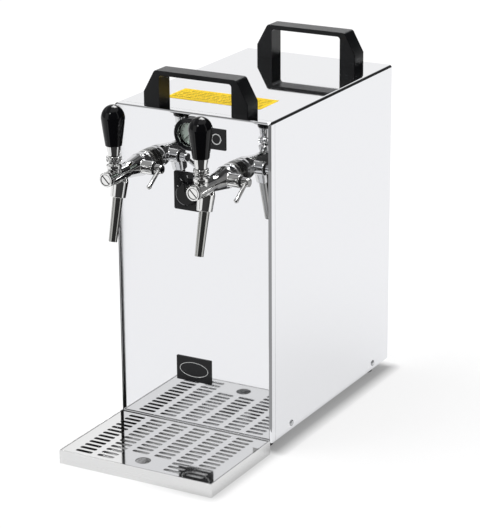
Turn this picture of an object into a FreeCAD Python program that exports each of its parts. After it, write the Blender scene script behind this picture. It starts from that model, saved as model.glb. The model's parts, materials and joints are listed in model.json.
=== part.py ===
import FreeCAD, Part
import os
import re
import Sketcher

V = FreeCAD.Vector

# A counter-top beer cooler with two taps. Every length is in millimetres.
# X runs to the right, Y from the front panel to the back, Z up from the counter.
# The origin is under the middle of the whole object, on the counter.

SIZES = {
    # casing
    "case_width": 225,
    "case_depth": 346,
    "case_height": 424,
    "foot_height": 14,
    "foot_radius": 13,
    "foot_inset": 26,
    "cover_sheet": 1.0,
    "pan_sheet": 1.2,
    "bend_radius": 4,
    "edge_radius": 3,
    "panel_return": 12,
    "rear_return": 12,
    "seam": 0.3,
    "base_wall": 20,
    # screws
    "screw_radius": 2,
    "screw_head": 4,
    "screw_head_height": 1.6,
    "screw_length": 7,
    "screw_slack": 0.15,
    "side_screw_height": 22.5,
    "side_screw_front": 56,
    "side_screw_rear": 298,
    "rear_screw_inset": 6,
    "rear_screw_margin": 60,
    # handles
    "handle_span": 150,
    "handle_top_span": 118,
    "handle_rise": 45.5,
    "handle_shoulder": 16.5,
    "handle_depth": 26,
    "handle_inset": 11,
    "handle_bar": 6,
    "grip_width": 104,
    "handle_corner": 5,
    "grip_corner": 4,
    "handle_edge": 1,
    "handle_screw_radius": 2.5,
    "handle_screw_head": 4.5,
    "handle_screw_length": 16,
    # plates on the casing
    "label_width": 138,
    "label_depth": 50,
    "label_front": 54.5,
    "foil": 0.3,
    "badge_width": 51.5,
    "badge_height": 33,
    "badge_centre": 95.5,
    "badge_thick": 1.2,
    "ring_plate_size": 27,
    "ring_plate_x": 37,
    "ring_plate_z": 409,
    "ring_plate_thick": 1,
    "plate_corner": 1,
    # pressure gauge
    "gauge_z": 411.5,
    "gauge_radius": 21,
    "gauge_barrel": 18.5,
    "gauge_window": 15.4,
    "gauge_front": 7.5,
    "gauge_back": 22,
    "gauge_bevel": 1.3,
    "dial_depth": 2,
    "dial_thick": 0.6,
    "lens_thick": 1.2,
    "lens_inset": 1,
    "needle_length": 12,
    "needle_tail": 4,
    "needle_foot": 1.8,
    "needle_tip": 0.6,
    "needle_thick": 0.8,
    "needle_hub": 2.2,
    "needle_hub_height": 1.8,
    "spindle_radius": 0.9,
    "spindle_grip": 3.5,
    "gauge_stem_radius": 5,
    "gauge_stem_length": 16,
    # thermostat
    "thermostat_z": 335.7,
    "thermostat_size": 50,
    "thermostat_thick": 1.5,
    "thermostat_corner": 2,
    "dial_knob_radius": 15,
    "dial_knob_height": 15,
    "dial_knob_skirt": 16.5,
    "dial_skirt_height": 2.4,
    "dial_knob_bevel": 1.5,
    "dial_mark_width": 1.6,
    "dial_mark_depth": 0.8,
    "shaft_radius": 3,
    "bushing_radius": 5,
    "thermostat_body_depth": 20,
    "thermostat_body_width": 40,
    "shaft_inside": 16,
    # taps
    "tap_x": 62,
    "tap_z": 369,
    "gasket_radius": 15.2,
    "gasket_thick": 8,
    "gasket_groove": 1.4,
    "gasket_bevel": 0.4,
    "gasket_rib": 1.6,
    "gasket_pitch": 3,
    "shank_radius": 8,
    "shank_bore": 4,
    "shank_inside": 30,
    "shank_socket": 6,
    "shank_nut_size": 14,
    "shank_nut_thick": 8,
    "barrel_radius": 14.9,
    "barrel_length": 20,
    "barrel_groove": 0.9,
    "barrel_groove_start": 6,
    "barrel_groove_width": 1.4,
    "barrel_bevel": 0.8,
    "nose_radius": 9.6,
    "taper_length": 30,
    "nose_end": 98.6,
    "cap_thick": 4,
    "cap_plug_radius": 6,
    "cap_plug_length": 6,
    "cap_rim": 2.4,
    "cap_rim_height": 0.7,
    "cap_bevel": 0.8,
    "cap_slot_width": 1.8,
    "cap_slot_depth": 1.2,
    "boss_radius": 8.6,
    "boss_reach": 27,
    "boss_forward": 31.5,
    "boss_rise": 0.5,
    "seal_thick": 1.8,
    "seal_radius": 6.8,
    "seal_bevel": 0.5,
    "lever_hub_radius": 5.8,
    "lever_hub_length": 10,
    "lever_hub_bevel": 0.5,
    "lever_hub_groove": 0.8,
    "lever_pin_radius": 3,
    "lever_pin_length": 12,
    "lever_length": 30,
    "lever_rod": 2.7,
    "lever_tip": 3.2,
    "lever_droop": 34,
    "socket_forward": 67.7,
    "socket_radius": 9.7,
    "socket_swell": 11,
    "socket_root": 8.8,
    "socket_start": 2,
    "socket_length": 30.3,
    "spout_lean": 14.9,
    "spout_start": 20,
    "spout_end": 85.8,
    "spout_top_radius": 6.6,
    "spout_tip_radius": 5.4,
    "spout_wall": 0.9,
    "duct_radius": 3.4,
    "handle_forward": 82,
    "pivot_z": 379.5,
    "seat_radius": 8.6,
    "ball_radius": 5.5,
    "ball_bore": 6.2,
    "stem_radius": 2.5,
    "stem_length": 34,
    "bonnet_radius": 9.6,
    "bonnet_rim": 4,
    "bonnet_bevel": 0.55,
    "bonnet_height": 6,
    "bonnet_top_radius": 7,
    "lock_nut_start": 8.7,
    "lock_nut_size": 10,
    "lock_nut_height": 7,
    "ferrule_start": 16.5,
    "ferrule_height": 12,
    "ferrule_foot": 7.5,
    "ferrule_top": 9.3,
    "knob_foot": 10.5,
    "knob_radius": 15,
    "knob_taper": 35.5,
    "knob_dome": 16.5,
    "running_gap": 0.06,
    "fit_gap": 0.3,
    "seat_gap": 0.05,
    "press_gap": 0.02,
    # drip tray
    "tray_width": 223,
    "tray_depth": 152,
    "tray_height": 18.3,
    "tray_gap": 0.3,
    "tray_sheet": 1.2,
    "tray_corner": 0.8,
    "grille_sheet": 0.8,
    "grille_drop": 0.2,
    "grille_side_gap": 0.8,
    "grille_rear_gap": 3,
    "slot_length": 24,
    "slot_width": 6,
    "slot_pitch_x": 32.4,
    "slot_pitch_y": 10.6,
    "slot_rear_margin": 13.2,
    "finger_radius": 10,
    "finger_forward": 130,
    # cooling core and its carrier
    "frame_height": 176,
    "frame_sheet": 1.5,
    "frame_front": 20,
    "frame_margin": 18,
    "jacket_half": 90,
    "jacket_floor": 20,
    "jacket_height": 224,
    "jacket_lid": 15,
    "core_radius": 49,
    "core_headroom": 8,
    "coil_wall": 4.1,
    "evaporator_wall": 8,
    "line_radius": 4,
    "line_wall": 1,
    "line_stop": 32,
    "joint_gap": 0.1,
    # machinery
    "compressor_x": -40,
    "compressor_y": 180,
    "compressor_radius": 56,
    "compressor_height": 140,
    "compressor_round": 12,
    "compressor_shoulder": 101,
    "compressor_crown": 40,
    "compressor_plate": 116,
    "plate_thick": 3,
    "condenser_width": 190,
    "condenser_depth": 34,
    "condenser_height": 158,
    "fin_gap": 5.5,
    "fin_pitch": 10,
    "condenser_edge": 8,
    "fan_size": 124,
    "fan_depth": 38,
    "fan_hole": 57,
    "fan_hub": 15,
    "fan_hub_bevel": 2,
    "fan_blade": 54,
    "blade_foot": 16,
    "blade_tip": 26,
    "blade_thick": 2,
    "blade_setback": 10,
    "fan_boss": 8,
    "fan_shaft": 2,
    "fan_gap": 4,
    "fan_setback": 3,
    "strut_width": 6,
    "strut_thick": 3,
    "pump_width": 100,
    "pump_depth": 78,
    "pump_height": 58,
    "pump_setback": 10,
    "pump_head": 22,
    "pump_head_rise": 27,
    # rear fittings
    "inlet_z": 225,
    "fitting_reach": 16,
    "fitting_collar": 9,
    "fitting_nose": 7,
    "fitting_shank": 6,
    "fitting_bore": 2.6,
    "fitting_neck": 10,
    "air_fitting_scale": 0.9,
    "fitting_inside": 12,
    "tube_socket": 4.05,
    "tube_depth": 15,
    "air_socket": 3.05,
    "gland_radius": 9,
    "gland_reach": 11,
    "gland_bore": 4,
    "gland_inside": 6,
    "gland_bevel": 3,
    "gland_x": -84,
    "gland_z": 205,
    "switch_x": 84,
    "switch_z": 205,
    "switch_width": 15,
    "switch_height": 22,
    "switch_rim": 2.5,
    "switch_rim_thick": 2,
    "switch_depth": 14,
    "switch_well_depth": 8,
    "switch_wall": 1.2,
    "rocker_dip": 0.2,
    "rocker_bulge": 3,
    "rocker_play": 0.8,
    "rocker_keel": 6.5,
    "rocker_keel_width": 3,
    "rocker_pin": 1,
    "rocker_pin_grip": 0.8,
    "vent_length": 70,
    "vent_width": 4,
    "vent_pitch": 9,
    "vent_column": 96,
    "vent_low": 34,
    "vent_high": 252,
}

doc = FreeCAD.newDocument("BeerCooler")
sheet = doc.addObject("Spreadsheet::Sheet", "Dims")
for row, (name, value) in enumerate(SIZES.items(), 1):
    sheet.set("A%d" % row, name)
    sheet.set("B%d" % row, str(value))
    sheet.setAlias("B%d" % row, name)
doc.recompute()

# Places that several pieces share, each one a formula of the sizes.
FRONT = "(tray_depth + tray_gap - rear_face - fitting_reach) / 2"
CASE_TOP = "(foot_height + case_height)"
INNER_X = "(case_width / 2 - cover_sheet - seam)"
REAR_FACE = "(case_depth - cover_sheet - seam)"
REAR_INNER = "(case_depth - cover_sheet - seam - pan_sheet)"
FLOOR = "(foot_height + pan_sheet)"
DECK = "(foot_height + pan_sheet + frame_height)"
CORE_Y = "(frame_front + frame_margin + jacket_half)"
COIL_OUTER = "(core_radius + evaporator_wall + 3 * fit_gap + 2 * coil_wall)"
GRILLE_TOP = "(tray_height - grille_drop)"
OVER = 5  # how far a cutter reaches past the face that it cuts
FORMULAS = {"rear_face": REAR_FACE}


def formula(text):
    """Names in a formula become cells of the size sheet."""
    for word, meaning in FORMULAS.items():
        text = re.sub(r"\b%s\b" % word, meaning, text)
    return re.sub(r"\b[a-z][a-z_]*\b", lambda m: "Dims." + m[0] if m[0] in SIZES else m[0], text)


def bind(item, **sizes):
    """Ties each named property of an item to a formula."""
    for prop, text in sizes.items():
        item.setExpression(prop.replace("__", "."), formula(str(text)))
    return item


TURNS = {
    "up": (V(1, 0, 0), 0),
    "front": (V(1, 0, 0), 90),
    "back": (V(-1, 0, 0), 90),
    "right": (V(0, 1, 0), 90),
    "left": (V(0, -1, 0), 90),
}


def place(item, x=0, y=0, z=0, along="up", angle=None):
    """Puts an item at x, y and z from the front panel's foot, with its own Z axis along a direction."""
    axis, turn = TURNS[along] if angle is None else (V(1, 0, 0), 45)
    item.Placement = FreeCAD.Placement(V(0, 0, 0), FreeCAD.Rotation(axis, turn))
    if angle is not None:
        bind(item, Placement__Rotation__Angle=angle)
    bind(item, Placement__Base__x=x, Placement__Base__y="%s + %s" % (y, FRONT), Placement__Base__z=z)
    return item


def box(name, length, width, height, x=0, y=0, z=0, middle=True):
    """A block that is centred on x, and starts at y and z."""
    item = doc.addObject("Part::Box", name)
    bind(item, Length=length, Width=width, Height=height)
    return place(item, "%s - (%s) / 2" % (x, length) if middle else x, y, z)


def rod(name, radius, length, x=0, y=0, z=0, along="up", angle=None):
    item = doc.addObject("Part::Cylinder", name)
    bind(item, Radius=radius, Height=length)
    return place(item, x, y, z, along, angle)


def ball(name, radius, x, y, z):
    item = doc.addObject("Part::Sphere", name)
    bind(item, Radius=radius)
    return place(item, x, y, z)


def cone(name, foot, top, height, x, y, z):
    item = doc.addObject("Part::Cone", name)
    bind(item, Radius1=foot, Radius2=top, Height=height)
    return place(item, x, y, z)


def hexagon(name, size, height, x, y, z, along="up"):
    """A six-sided nut blank, size from its centre to a corner."""
    item = doc.addObject("Part::Prism", name)
    item.Polygon = 6
    bind(item, Circumradius=size, Height=height)
    return place(item, x, y, z, along)


def fuse(name, *pieces):
    item = doc.addObject("Part::MultiFuse", name)
    item.Shapes = list(pieces)
    return item


def group(name, *pieces):
    """Separate solids that share one node."""
    item = doc.addObject("Part::Compound", name)
    item.Links = list(pieces)
    return item


def cut(name, base, *tools):
    item = doc.addObject("Part::Cut", name)
    item.Base = base
    item.Tool = tools[0] if len(tools) == 1 else group(name + "_tools", *tools)
    return item


def draw(body, plane, outlines):
    """A sketch of closed outlines, each corner tied to its two coordinates."""
    sketch = body.newObject("Sketcher::SketchObject", body.Name + "_outline")
    origin = [item for item in body.Origin.OriginFeatures if item.Role == plane + "_Plane"][0]
    sketch.AttachmentSupport = [(origin, "")]
    sketch.MapMode = "FlatFace"
    for corners in outlines:
        first = sketch.GeometryCount
        count = len(corners)
        spread = [FreeCAD.Rotation(V(0, 0, 1), 360.0 * i / count).multVec(V(9, 0, 0)) for i in range(count)]
        for i in range(count):
            sketch.addGeometry(Part.LineSegment(spread[i], spread[(i + 1) % count]), False)
        for i in range(count):
            nxt = first + (i + 1) % count
            sketch.addConstraint(Sketcher.Constraint("Coincident", first + i, 2, nxt, 1))
        for i, (across, rise) in enumerate(corners):
            for way, value in (("DistanceX", across), ("DistanceY", rise)):
                index = sketch.addConstraint(Sketcher.Constraint(way, -1, 1, first + i, 1, 1.0))
                sketch.setExpression("Constraints[%d]" % index, formula(str(value)))
    return sketch


def turned(name, corners, x=0, y=0, z=0, along="up", angle=None):
    """A piece turned about its own Z axis. Each corner is a radius and a height."""
    body = doc.addObject("PartDesign::Body", name)
    sketch = draw(body, "XZ", [corners])
    turn = body.newObject("PartDesign::Revolution", name + "_turn")
    turn.Profile = sketch
    turn.ReferenceAxis = (sketch, ["V_Axis"])
    turn.Angle = 360
    body.Tip = turn
    return place(body, x, y, z, along, angle)


def slab(name, corners, depth, x=0, y=0, z=0, plane="XZ"):
    """A flat outline with a thickness: XZ outlines grow backwards, XY outlines upwards."""
    body = doc.addObject("PartDesign::Body", name)
    pad = body.newObject("PartDesign::Pad", name + "_pad")
    pad.Profile = draw(body, plane, [corners])
    pad.Reversed = plane == "XZ"
    bind(pad, Length=depth)
    body.Tip = pad
    return place(body, x, y, z)


def rectangle(width, low, high):
    half = "(%s) / 2" % width
    return [("-" + half, low), (half, low), (half, high), ("-" + half, high)]


def soften(body, radius, choose):
    """Rounds the edges that choose picks by their direction and by their place in the body's box."""
    doc.recompute()
    feature = body.Tip
    shape = feature.Shape
    picked = []
    for number, edge in enumerate(shape.Edges, 1):
        ends = [vertex.Point for vertex in edge.Vertexes]
        if len(ends) == 2 and choose((ends[1] - ends[0]).normalize(), edge.CenterOfMass, shape.BoundBox):
            picked.append("Edge%d" % number)
    fillet = body.newObject("PartDesign::Fillet", feature.Name + "_soft")
    fillet.Base = (feature, picked)
    bind(fillet, Radius=radius)
    body.Tip = fillet
    return body


def near(value, target):
    return abs(value - target) < 0.01


def drill(name, radius, x=0, y=0, z=0, along="back"):
    """A round cutter through a sheet. Its middle lies on the sheet."""
    start = [x, y, z]
    way = {"right": 0, "back": 1, "up": 2}[along]
    start[way] = "%s - %d" % (start[way], OVER)
    return rod(name, radius, 2 * OVER, *start, along)


def pierce(body, plane, outlines, patterns=()):
    """Cuts outlines right through a slab, and repeats them along the sketch's axes."""
    doc.recompute()
    hole = body.newObject("PartDesign::Pocket", body.Name + "_hole")
    sketch = draw(body, plane, outlines)
    hole.Profile = sketch
    hole.Type = "ThroughAll"
    hole.Midplane = True
    body.Tip = hole
    if patterns:
        doc.recompute()
        many = body.newObject("PartDesign::MultiTransform", body.Name + "_repeat")
        many.Originals = [hole]
        steps = []
        for axis, reach, count in patterns:
            step = body.newObject("PartDesign::LinearPattern", body.Name + "_step")
            step.Direction = (sketch, [axis])
            step.Occurrences = count
            bind(step, Length=reach)
            steps.append(step)
        many.Transformations = steps
        body.Tip = many
    return body


def slot(across, rise, length, width):
    """An eight-sided slot with bevelled ends, centred on a point."""
    flat = "((%s) / 2 - (%s) / 4)" % (length, width)
    tip = "(%s) / 2" % length
    low = "(%s) / 5" % width
    high = "(%s) / 2" % width
    signs = [(flat, high, 1, 1), (tip, low, 1, 1), (tip, low, 1, -1), (flat, high, 1, -1)]
    signs += [(flat, high, -1, -1), (tip, low, -1, -1), (tip, low, -1, 1), (flat, high, -1, 1)]
    return [("%s + %d * %s" % (across, a, p), "%s + %d * %s" % (rise, b, q)) for p, q, a, b in signs]


PARTS = []


def finish(label, item):
    item.Label = label
    PARTS.append(item)


def screw(name, x, y, z, along, radius="screw_radius", head="screw_head", reach="screw_length"):
    """A pan-head screw whose own Z axis points from its head to its tip."""
    top = "-screw_head_height"
    corners = [(0, top), (head + " * 0.7", top), (head, top + " * 0.4"), (head, 0), (radius, 0),
               (radius, reach), (0, reach)]
    return turned(name, corners, x, y, z, along)


# casing

def make_front_panel():
    outer = slab("panel_outer", rectangle("case_width", 0, "case_height"), "panel_return", 0, 0, "foot_height")
    soften(outer, "bend_radius", lambda d, c, b: near(abs(d.y), 1) and near(c.z, b.ZMax))
    soften(outer, "edge_radius", lambda d, c, b: near(c.y, b.YMin))
    hollow = rectangle("case_width - 2 * cover_sheet", "cover_sheet", "case_height - cover_sheet")
    inner = slab("panel_inner", hollow, "panel_return", 0, "cover_sheet", "foot_height")
    soften(inner, "bend_radius - cover_sheet", lambda d, c, b: near(abs(d.y), 1) and near(c.z, b.ZMax))
    soften(inner, "edge_radius - cover_sheet", lambda d, c, b: near(c.y, b.YMin))
    tools = [inner]
    for side in (-1, 1):
        tools.append(drill("shank_hole", "shank_radius + fit_gap", "%d * tap_x" % side, 0, "tap_z"))
    tools.append(drill("gauge_hole", "gauge_barrel + fit_gap", 0, 0, "gauge_z"))
    tools.append(drill("bushing_hole", "bushing_radius + fit_gap", 0, 0, "thermostat_z"))
    finish("front_panel", cut("front_panel_cut", outer, *tools))


def make_wrap_cover():
    start = "panel_return + seam"
    length = "case_depth - (%s)" % start
    outer = slab("wrap_outer", rectangle("case_width", 0, "case_height"), length, 0, start, "foot_height")
    soften(outer, "bend_radius", lambda d, c, b: near(abs(d.y), 1) and near(c.z, b.ZMax))
    inner = slab("wrap_inner", rectangle("case_width - 2 * cover_sheet", -OVER, "case_height - cover_sheet"),
                 "%s + %d - cover_sheet" % (length, OVER), 0, "%s - %d" % (start, OVER), "foot_height")
    soften(inner, "bend_radius - cover_sheet", lambda d, c, b: near(abs(d.y), 1) and near(c.z, b.ZMax))
    window = box("wrap_window", "case_width - 2 * cover_sheet - 2 * rear_return", 2 * OVER,
                 "case_height - rear_return - cover_sheet + %d" % OVER, 0, "case_depth - %d" % OVER,
                 "foot_height - %d" % OVER)
    tools = [inner, window]
    for side in (-1, 1):
        for spot in ("side_screw_front", "side_screw_rear"):
            tools.append(drill("side_hole", "screw_radius + screw_slack", "%d * case_width / 2" % side, spot,
                               "side_screw_height", "right"))
        for y in ("handle_inset + handle_depth / 2", "case_depth - handle_inset - handle_depth / 2"):
            tools.append(drill("top_hole", "handle_screw_radius + screw_slack", "%d * handle_foot" % side, y,
                               CASE_TOP, "up"))
    for x, z in REAR_SCREWS:
        tools.append(drill("return_hole", "screw_radius + screw_slack", x, "case_depth", z))
    finish("wrap_cover", cut("wrap_cover_cut", outer, *tools))


FORMULAS["handle_foot"] = "((handle_span + grip_width) / 4)"
REAR_X = "(case_width / 2 - cover_sheet - rear_screw_inset)"
REAR_SCREWS = [("%d * %s" % (side, REAR_X), z) for side in (-1, 1)
               for z in ("foot_height + rear_screw_margin", "foot_height + case_height / 2",
                         CASE_TOP + " - rear_screw_margin")]


def make_base_pan():
    start = "panel_return + seam"
    length = "%s - seam - (%s)" % (REAR_INNER, start)
    outer = box("base_outer", "2 * " + INNER_X, length, "base_wall", 0, start, "foot_height")
    inner = box("base_inner", "2 * %s - 2 * pan_sheet" % INNER_X, length + " - 2 * pan_sheet", "base_wall",
                0, start + " + pan_sheet", FLOOR)
    tools = [inner]
    for side in (-1, 1):
        for spot in ("side_screw_front", "side_screw_rear"):
            tools.append(drill("pan_hole", "screw_radius + screw_slack", "%d * case_width / 2" % side, spot,
                               "side_screw_height", "right"))
    finish("base_pan", cut("base_pan_cut", outer, *tools))


LOW_VENTS = 16
HIGH_VENTS = 10


def make_rear_panel():
    panel = slab("rear_plate", rectangle("2 * " + INNER_X, 0, "case_height - cover_sheet - seam"), "pan_sheet",
                 0, REAR_INNER, "foot_height")
    soften(panel, "bend_radius - cover_sheet", lambda d, c, b: near(abs(d.y), 1) and near(c.z, b.ZMax))
    for start, count in (("vent_low", LOW_VENTS), ("vent_high", HIGH_VENTS)):
        pierce(panel, "XZ", [slot("-vent_column / 2", start + " - foot_height", "vent_length", "vent_width")],
               [("H_Axis", "vent_column", 2), ("V_Axis", "%d * vent_pitch" % (count - 1), count)])
    tools = []
    for x, z in REAR_SCREWS:
        tools.append(drill("plate_hole", "screw_radius + screw_slack", x, "case_depth", z))
    for x in ("-tap_x", "0", "tap_x"):
        tools.append(drill("fitting_hole", "fitting_shank + fit_gap", x, REAR_FACE, "inlet_z"))
    tools.append(drill("gland_hole", "fitting_shank + fit_gap", "gland_x", REAR_FACE, "gland_z"))
    tools.append(box("switch_hole", "switch_width + 2 * fit_gap", 2 * OVER, "switch_height + 2 * fit_gap",
                     "switch_x", "%s - %d" % (REAR_FACE, OVER), "switch_z - switch_height / 2 - fit_gap"))
    finish("rear_panel", cut("rear_panel_cut", panel, *tools))


def make_feet():
    feet = []
    for side in (-1, 1):
        for y in ("foot_inset", "case_depth - foot_inset"):
            feet.append(cone("foot", "foot_radius", "foot_radius - 2", "foot_height",
                             "%d * (case_width / 2 - foot_inset)" % side, y, 0))
    finish("feet", group("foot_set", *feet))


def make_casing_screws():
    sides = []
    for side, along in ((-1, "right"), (1, "left")):
        for spot in ("side_screw_front", "side_screw_rear"):
            sides.append(screw("side_screw", "%d * case_width / 2" % side, spot, "side_screw_height", along))
    finish("cover_screws", group("side_screw_set", *sides))
    rears = [screw("rear_screw", x, "case_depth", z, "front") for x, z in REAR_SCREWS]
    finish("rear_screws", group("rear_screw_set", *rears))


# handles

def make_handle(label, y):
    half = "handle_span / 2"
    outline = [("-" + half, 0), ("-" + half, "handle_shoulder"), ("-handle_top_span / 2", "handle_rise"),
               ("handle_top_span / 2", "handle_rise"), (half, "handle_shoulder"), (half, 0),
               ("grip_width / 2", 0), ("grip_width / 2", "handle_rise - handle_bar"),
               ("-grip_width / 2", "handle_rise - handle_bar"), ("-grip_width / 2", 0)]
    bridge = slab(label + "_bridge", outline, "handle_depth", 0, y, CASE_TOP)
    soften(bridge, "handle_corner", lambda d, c, b: near(abs(d.y), 1) and near(c.z, b.ZMax))
    grip = sheet.get("grip_width") / 2
    bar = sheet.get("handle_bar")
    soften(bridge, "grip_corner",
           lambda d, c, b: near(abs(d.y), 1) and near(abs(c.x), grip) and near(c.z, b.ZMax - bar))
    soften(bridge, "handle_edge", lambda d, c, b: near(c.y, b.YMin) and c.z > b.ZMin + 1
           and (near(c.z, b.ZMax) or abs(c.x) > grip + 1))
    holes = [rod("leg_hole", "handle_screw_radius + screw_slack", "handle_screw_length + 1",
                 "%d * handle_foot" % side, "%s + handle_depth / 2" % y, CASE_TOP + " - 1") for side in (-1, 1)]
    finish(label, cut(label + "_cut", bridge, *holes))


def make_handles():
    spots = ["handle_inset", "case_depth - handle_inset - handle_depth"]
    make_handle("front_handle", spots[0])
    make_handle("rear_handle", spots[1])
    screws = []
    for y in spots:
        for side in (-1, 1):
            screws.append(screw("handle_screw", "%d * handle_foot" % side, "%s + handle_depth / 2" % y,
                                CASE_TOP + " - cover_sheet", "up", "handle_screw_radius", "handle_screw_head",
                                "handle_screw_length"))
    finish("handle_screws", group("handle_screw_set", *screws))


# plates

def make_plates():
    foil = slab("label_foil", rectangle("label_width", 0, "label_depth"), "foil", 0, "label_front", CASE_TOP,
                "XY")
    soften(foil, "plate_corner", lambda d, c, b: near(abs(d.z), 1))
    finish("top_label", foil)
    badge = slab("badge", rectangle("badge_width", "-badge_height / 2", "badge_height / 2"), "badge_thick",
                 0, "-badge_thick", "badge_centre")
    soften(badge, "plate_corner", lambda d, c, b: near(abs(d.y), 1))
    finish("badge_plate", badge)
    ring = slab("ring_blank", rectangle("ring_plate_size", "-ring_plate_size / 2", "ring_plate_size / 2"),
                "ring_plate_thick", "ring_plate_x", "-ring_plate_thick", "ring_plate_z")
    soften(ring, "plate_corner", lambda d, c, b: near(abs(d.y), 1))
    finish("ring_plate", ring)


# pressure gauge: heights count forwards from the front panel

def make_gauge():
    rim = "gauge_front"
    seat = "-dial_depth"
    inner = "spindle_radius + running_gap"
    bottom = seat + " - spindle_grip - fit_gap"
    case = [(0, "-gauge_back"), ("gauge_barrel", "-gauge_back"), ("gauge_barrel", 0), ("gauge_radius", 0),
            ("gauge_radius", rim + " - gauge_bevel"), ("gauge_radius - gauge_bevel", rim),
            ("gauge_window", rim), ("gauge_window", seat), (inner, seat), (inner, bottom), (0, bottom)]
    finish("gauge_case", turned("gauge_cup", case, 0, 0, "gauge_z", "front"))
    disc = "gauge_window - running_gap"
    dial = [(inner, seat), (disc, seat), (disc, seat + " + dial_thick"), (inner, seat + " + dial_thick")]
    finish("gauge_dial", turned("dial_disc", dial, 0, 0, "gauge_z", "front"))
    back = rim + " - lens_inset - lens_thick"
    glass = [(0, back), (disc, back), (disc, rim + " - lens_inset"), (0, rim + " - lens_inset")]
    finish("gauge_lens", turned("lens_disc", glass, 0, 0, "gauge_z", "front"))
    half = "needle_hub_height / 2"
    foot = seat + " - spindle_grip"
    hub = [(0, foot), ("spindle_radius", foot), ("spindle_radius", "-" + half), ("needle_hub", "-" + half),
           ("needle_hub", half), (0, half)]
    pin = turned("needle_pin", hub, 0, 0, "gauge_z", "front")
    outline = [("-needle_foot / 2", "-needle_tail"), ("needle_foot / 2", "-needle_tail"),
               ("needle_tip / 2", "needle_length"), ("-needle_tip / 2", "needle_length")]
    blade = slab("needle_blade", outline, "needle_thick", 0, "-needle_thick / 2", "gauge_z")
    blade.Placement.Rotation = FreeCAD.Rotation(V(0, 1, 0), -135)
    finish("gauge_needle", fuse("needle_fuse", pin, blade))
    finish("gauge_stem", rod("stem_tube", "gauge_stem_radius", "gauge_stem_length", 0, "gauge_back", "gauge_z",
                             "back"))


# thermostat

def make_thermostat():
    half = "thermostat_size / 2"
    plate = slab("scale_plate", rectangle("thermostat_size", "-" + half, half), "thermostat_thick",
                 0, "-thermostat_thick", "thermostat_z")
    soften(plate, "thermostat_corner", lambda d, c, b: near(abs(d.y), 1))
    hole = drill("plate_bore", "bushing_radius + fit_gap", 0, 0, "thermostat_z")
    finish("thermostat_plate", cut("scale_plate_cut", plate, hole))
    gap = "thermostat_thick + fit_gap"
    top = gap + " + dial_knob_height"
    bore = "shaft_radius + press_gap"
    shoulder = "dial_knob_radius - dial_knob_bevel / 2"
    cap = top + " - dial_knob_radius / 4"
    knob = [(bore, gap), ("dial_knob_skirt", gap), ("dial_knob_skirt", gap + " + dial_skirt_height"),
            ("dial_knob_radius", gap + " + 1.5 * dial_skirt_height"), (shoulder, top + " - dial_knob_bevel"),
            (shoulder + " - dial_knob_bevel", top), (0, top), (0, cap), (bore, cap)]
    turned_knob = turned("dial_knob", knob, 0, 0, "thermostat_z", "front")
    mark = box("knob_mark", "dial_mark_width", "2 * dial_mark_depth", "dial_knob_radius", 0,
               "-(%s) - dial_mark_depth" % top, "thermostat_z + dial_knob_radius / 4")
    finish("thermostat_knob", cut("dial_knob_cut", turned_knob, mark))
    finish("thermostat_spindle", rod("knob_shaft", "shaft_radius", "shaft_inside + %s - fit_gap" % cap, 0,
                                     "shaft_inside", "thermostat_z", "front"))
    housing = box("switch_case", "thermostat_body_width", "thermostat_body_depth", "thermostat_body_width", 0,
                  "cover_sheet", "thermostat_z - thermostat_body_width / 2")
    bushing = rod("bushing", "bushing_radius", "2 * cover_sheet + thermostat_thick", 0, "2 * cover_sheet",
                  "thermostat_z", "front")
    bore = rod("bushing_bore", "shaft_radius + running_gap", "2 * thermostat_body_depth", 0,
               "shaft_inside + fit_gap", "thermostat_z", "front")
    finish("thermostat_body", cut("thermostat_cut", fuse("thermostat_fuse", housing, bushing), bore))


# taps: heights of the turned pieces count forwards from the front panel

SIDES = (("left", "-tap_x"), ("right", "tap_x"))
LEVER_Y = "-boss_forward"
LEVER_Z = "tap_z + boss_rise"
BARREL_END = "(gasket_thick + barrel_length)"


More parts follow.
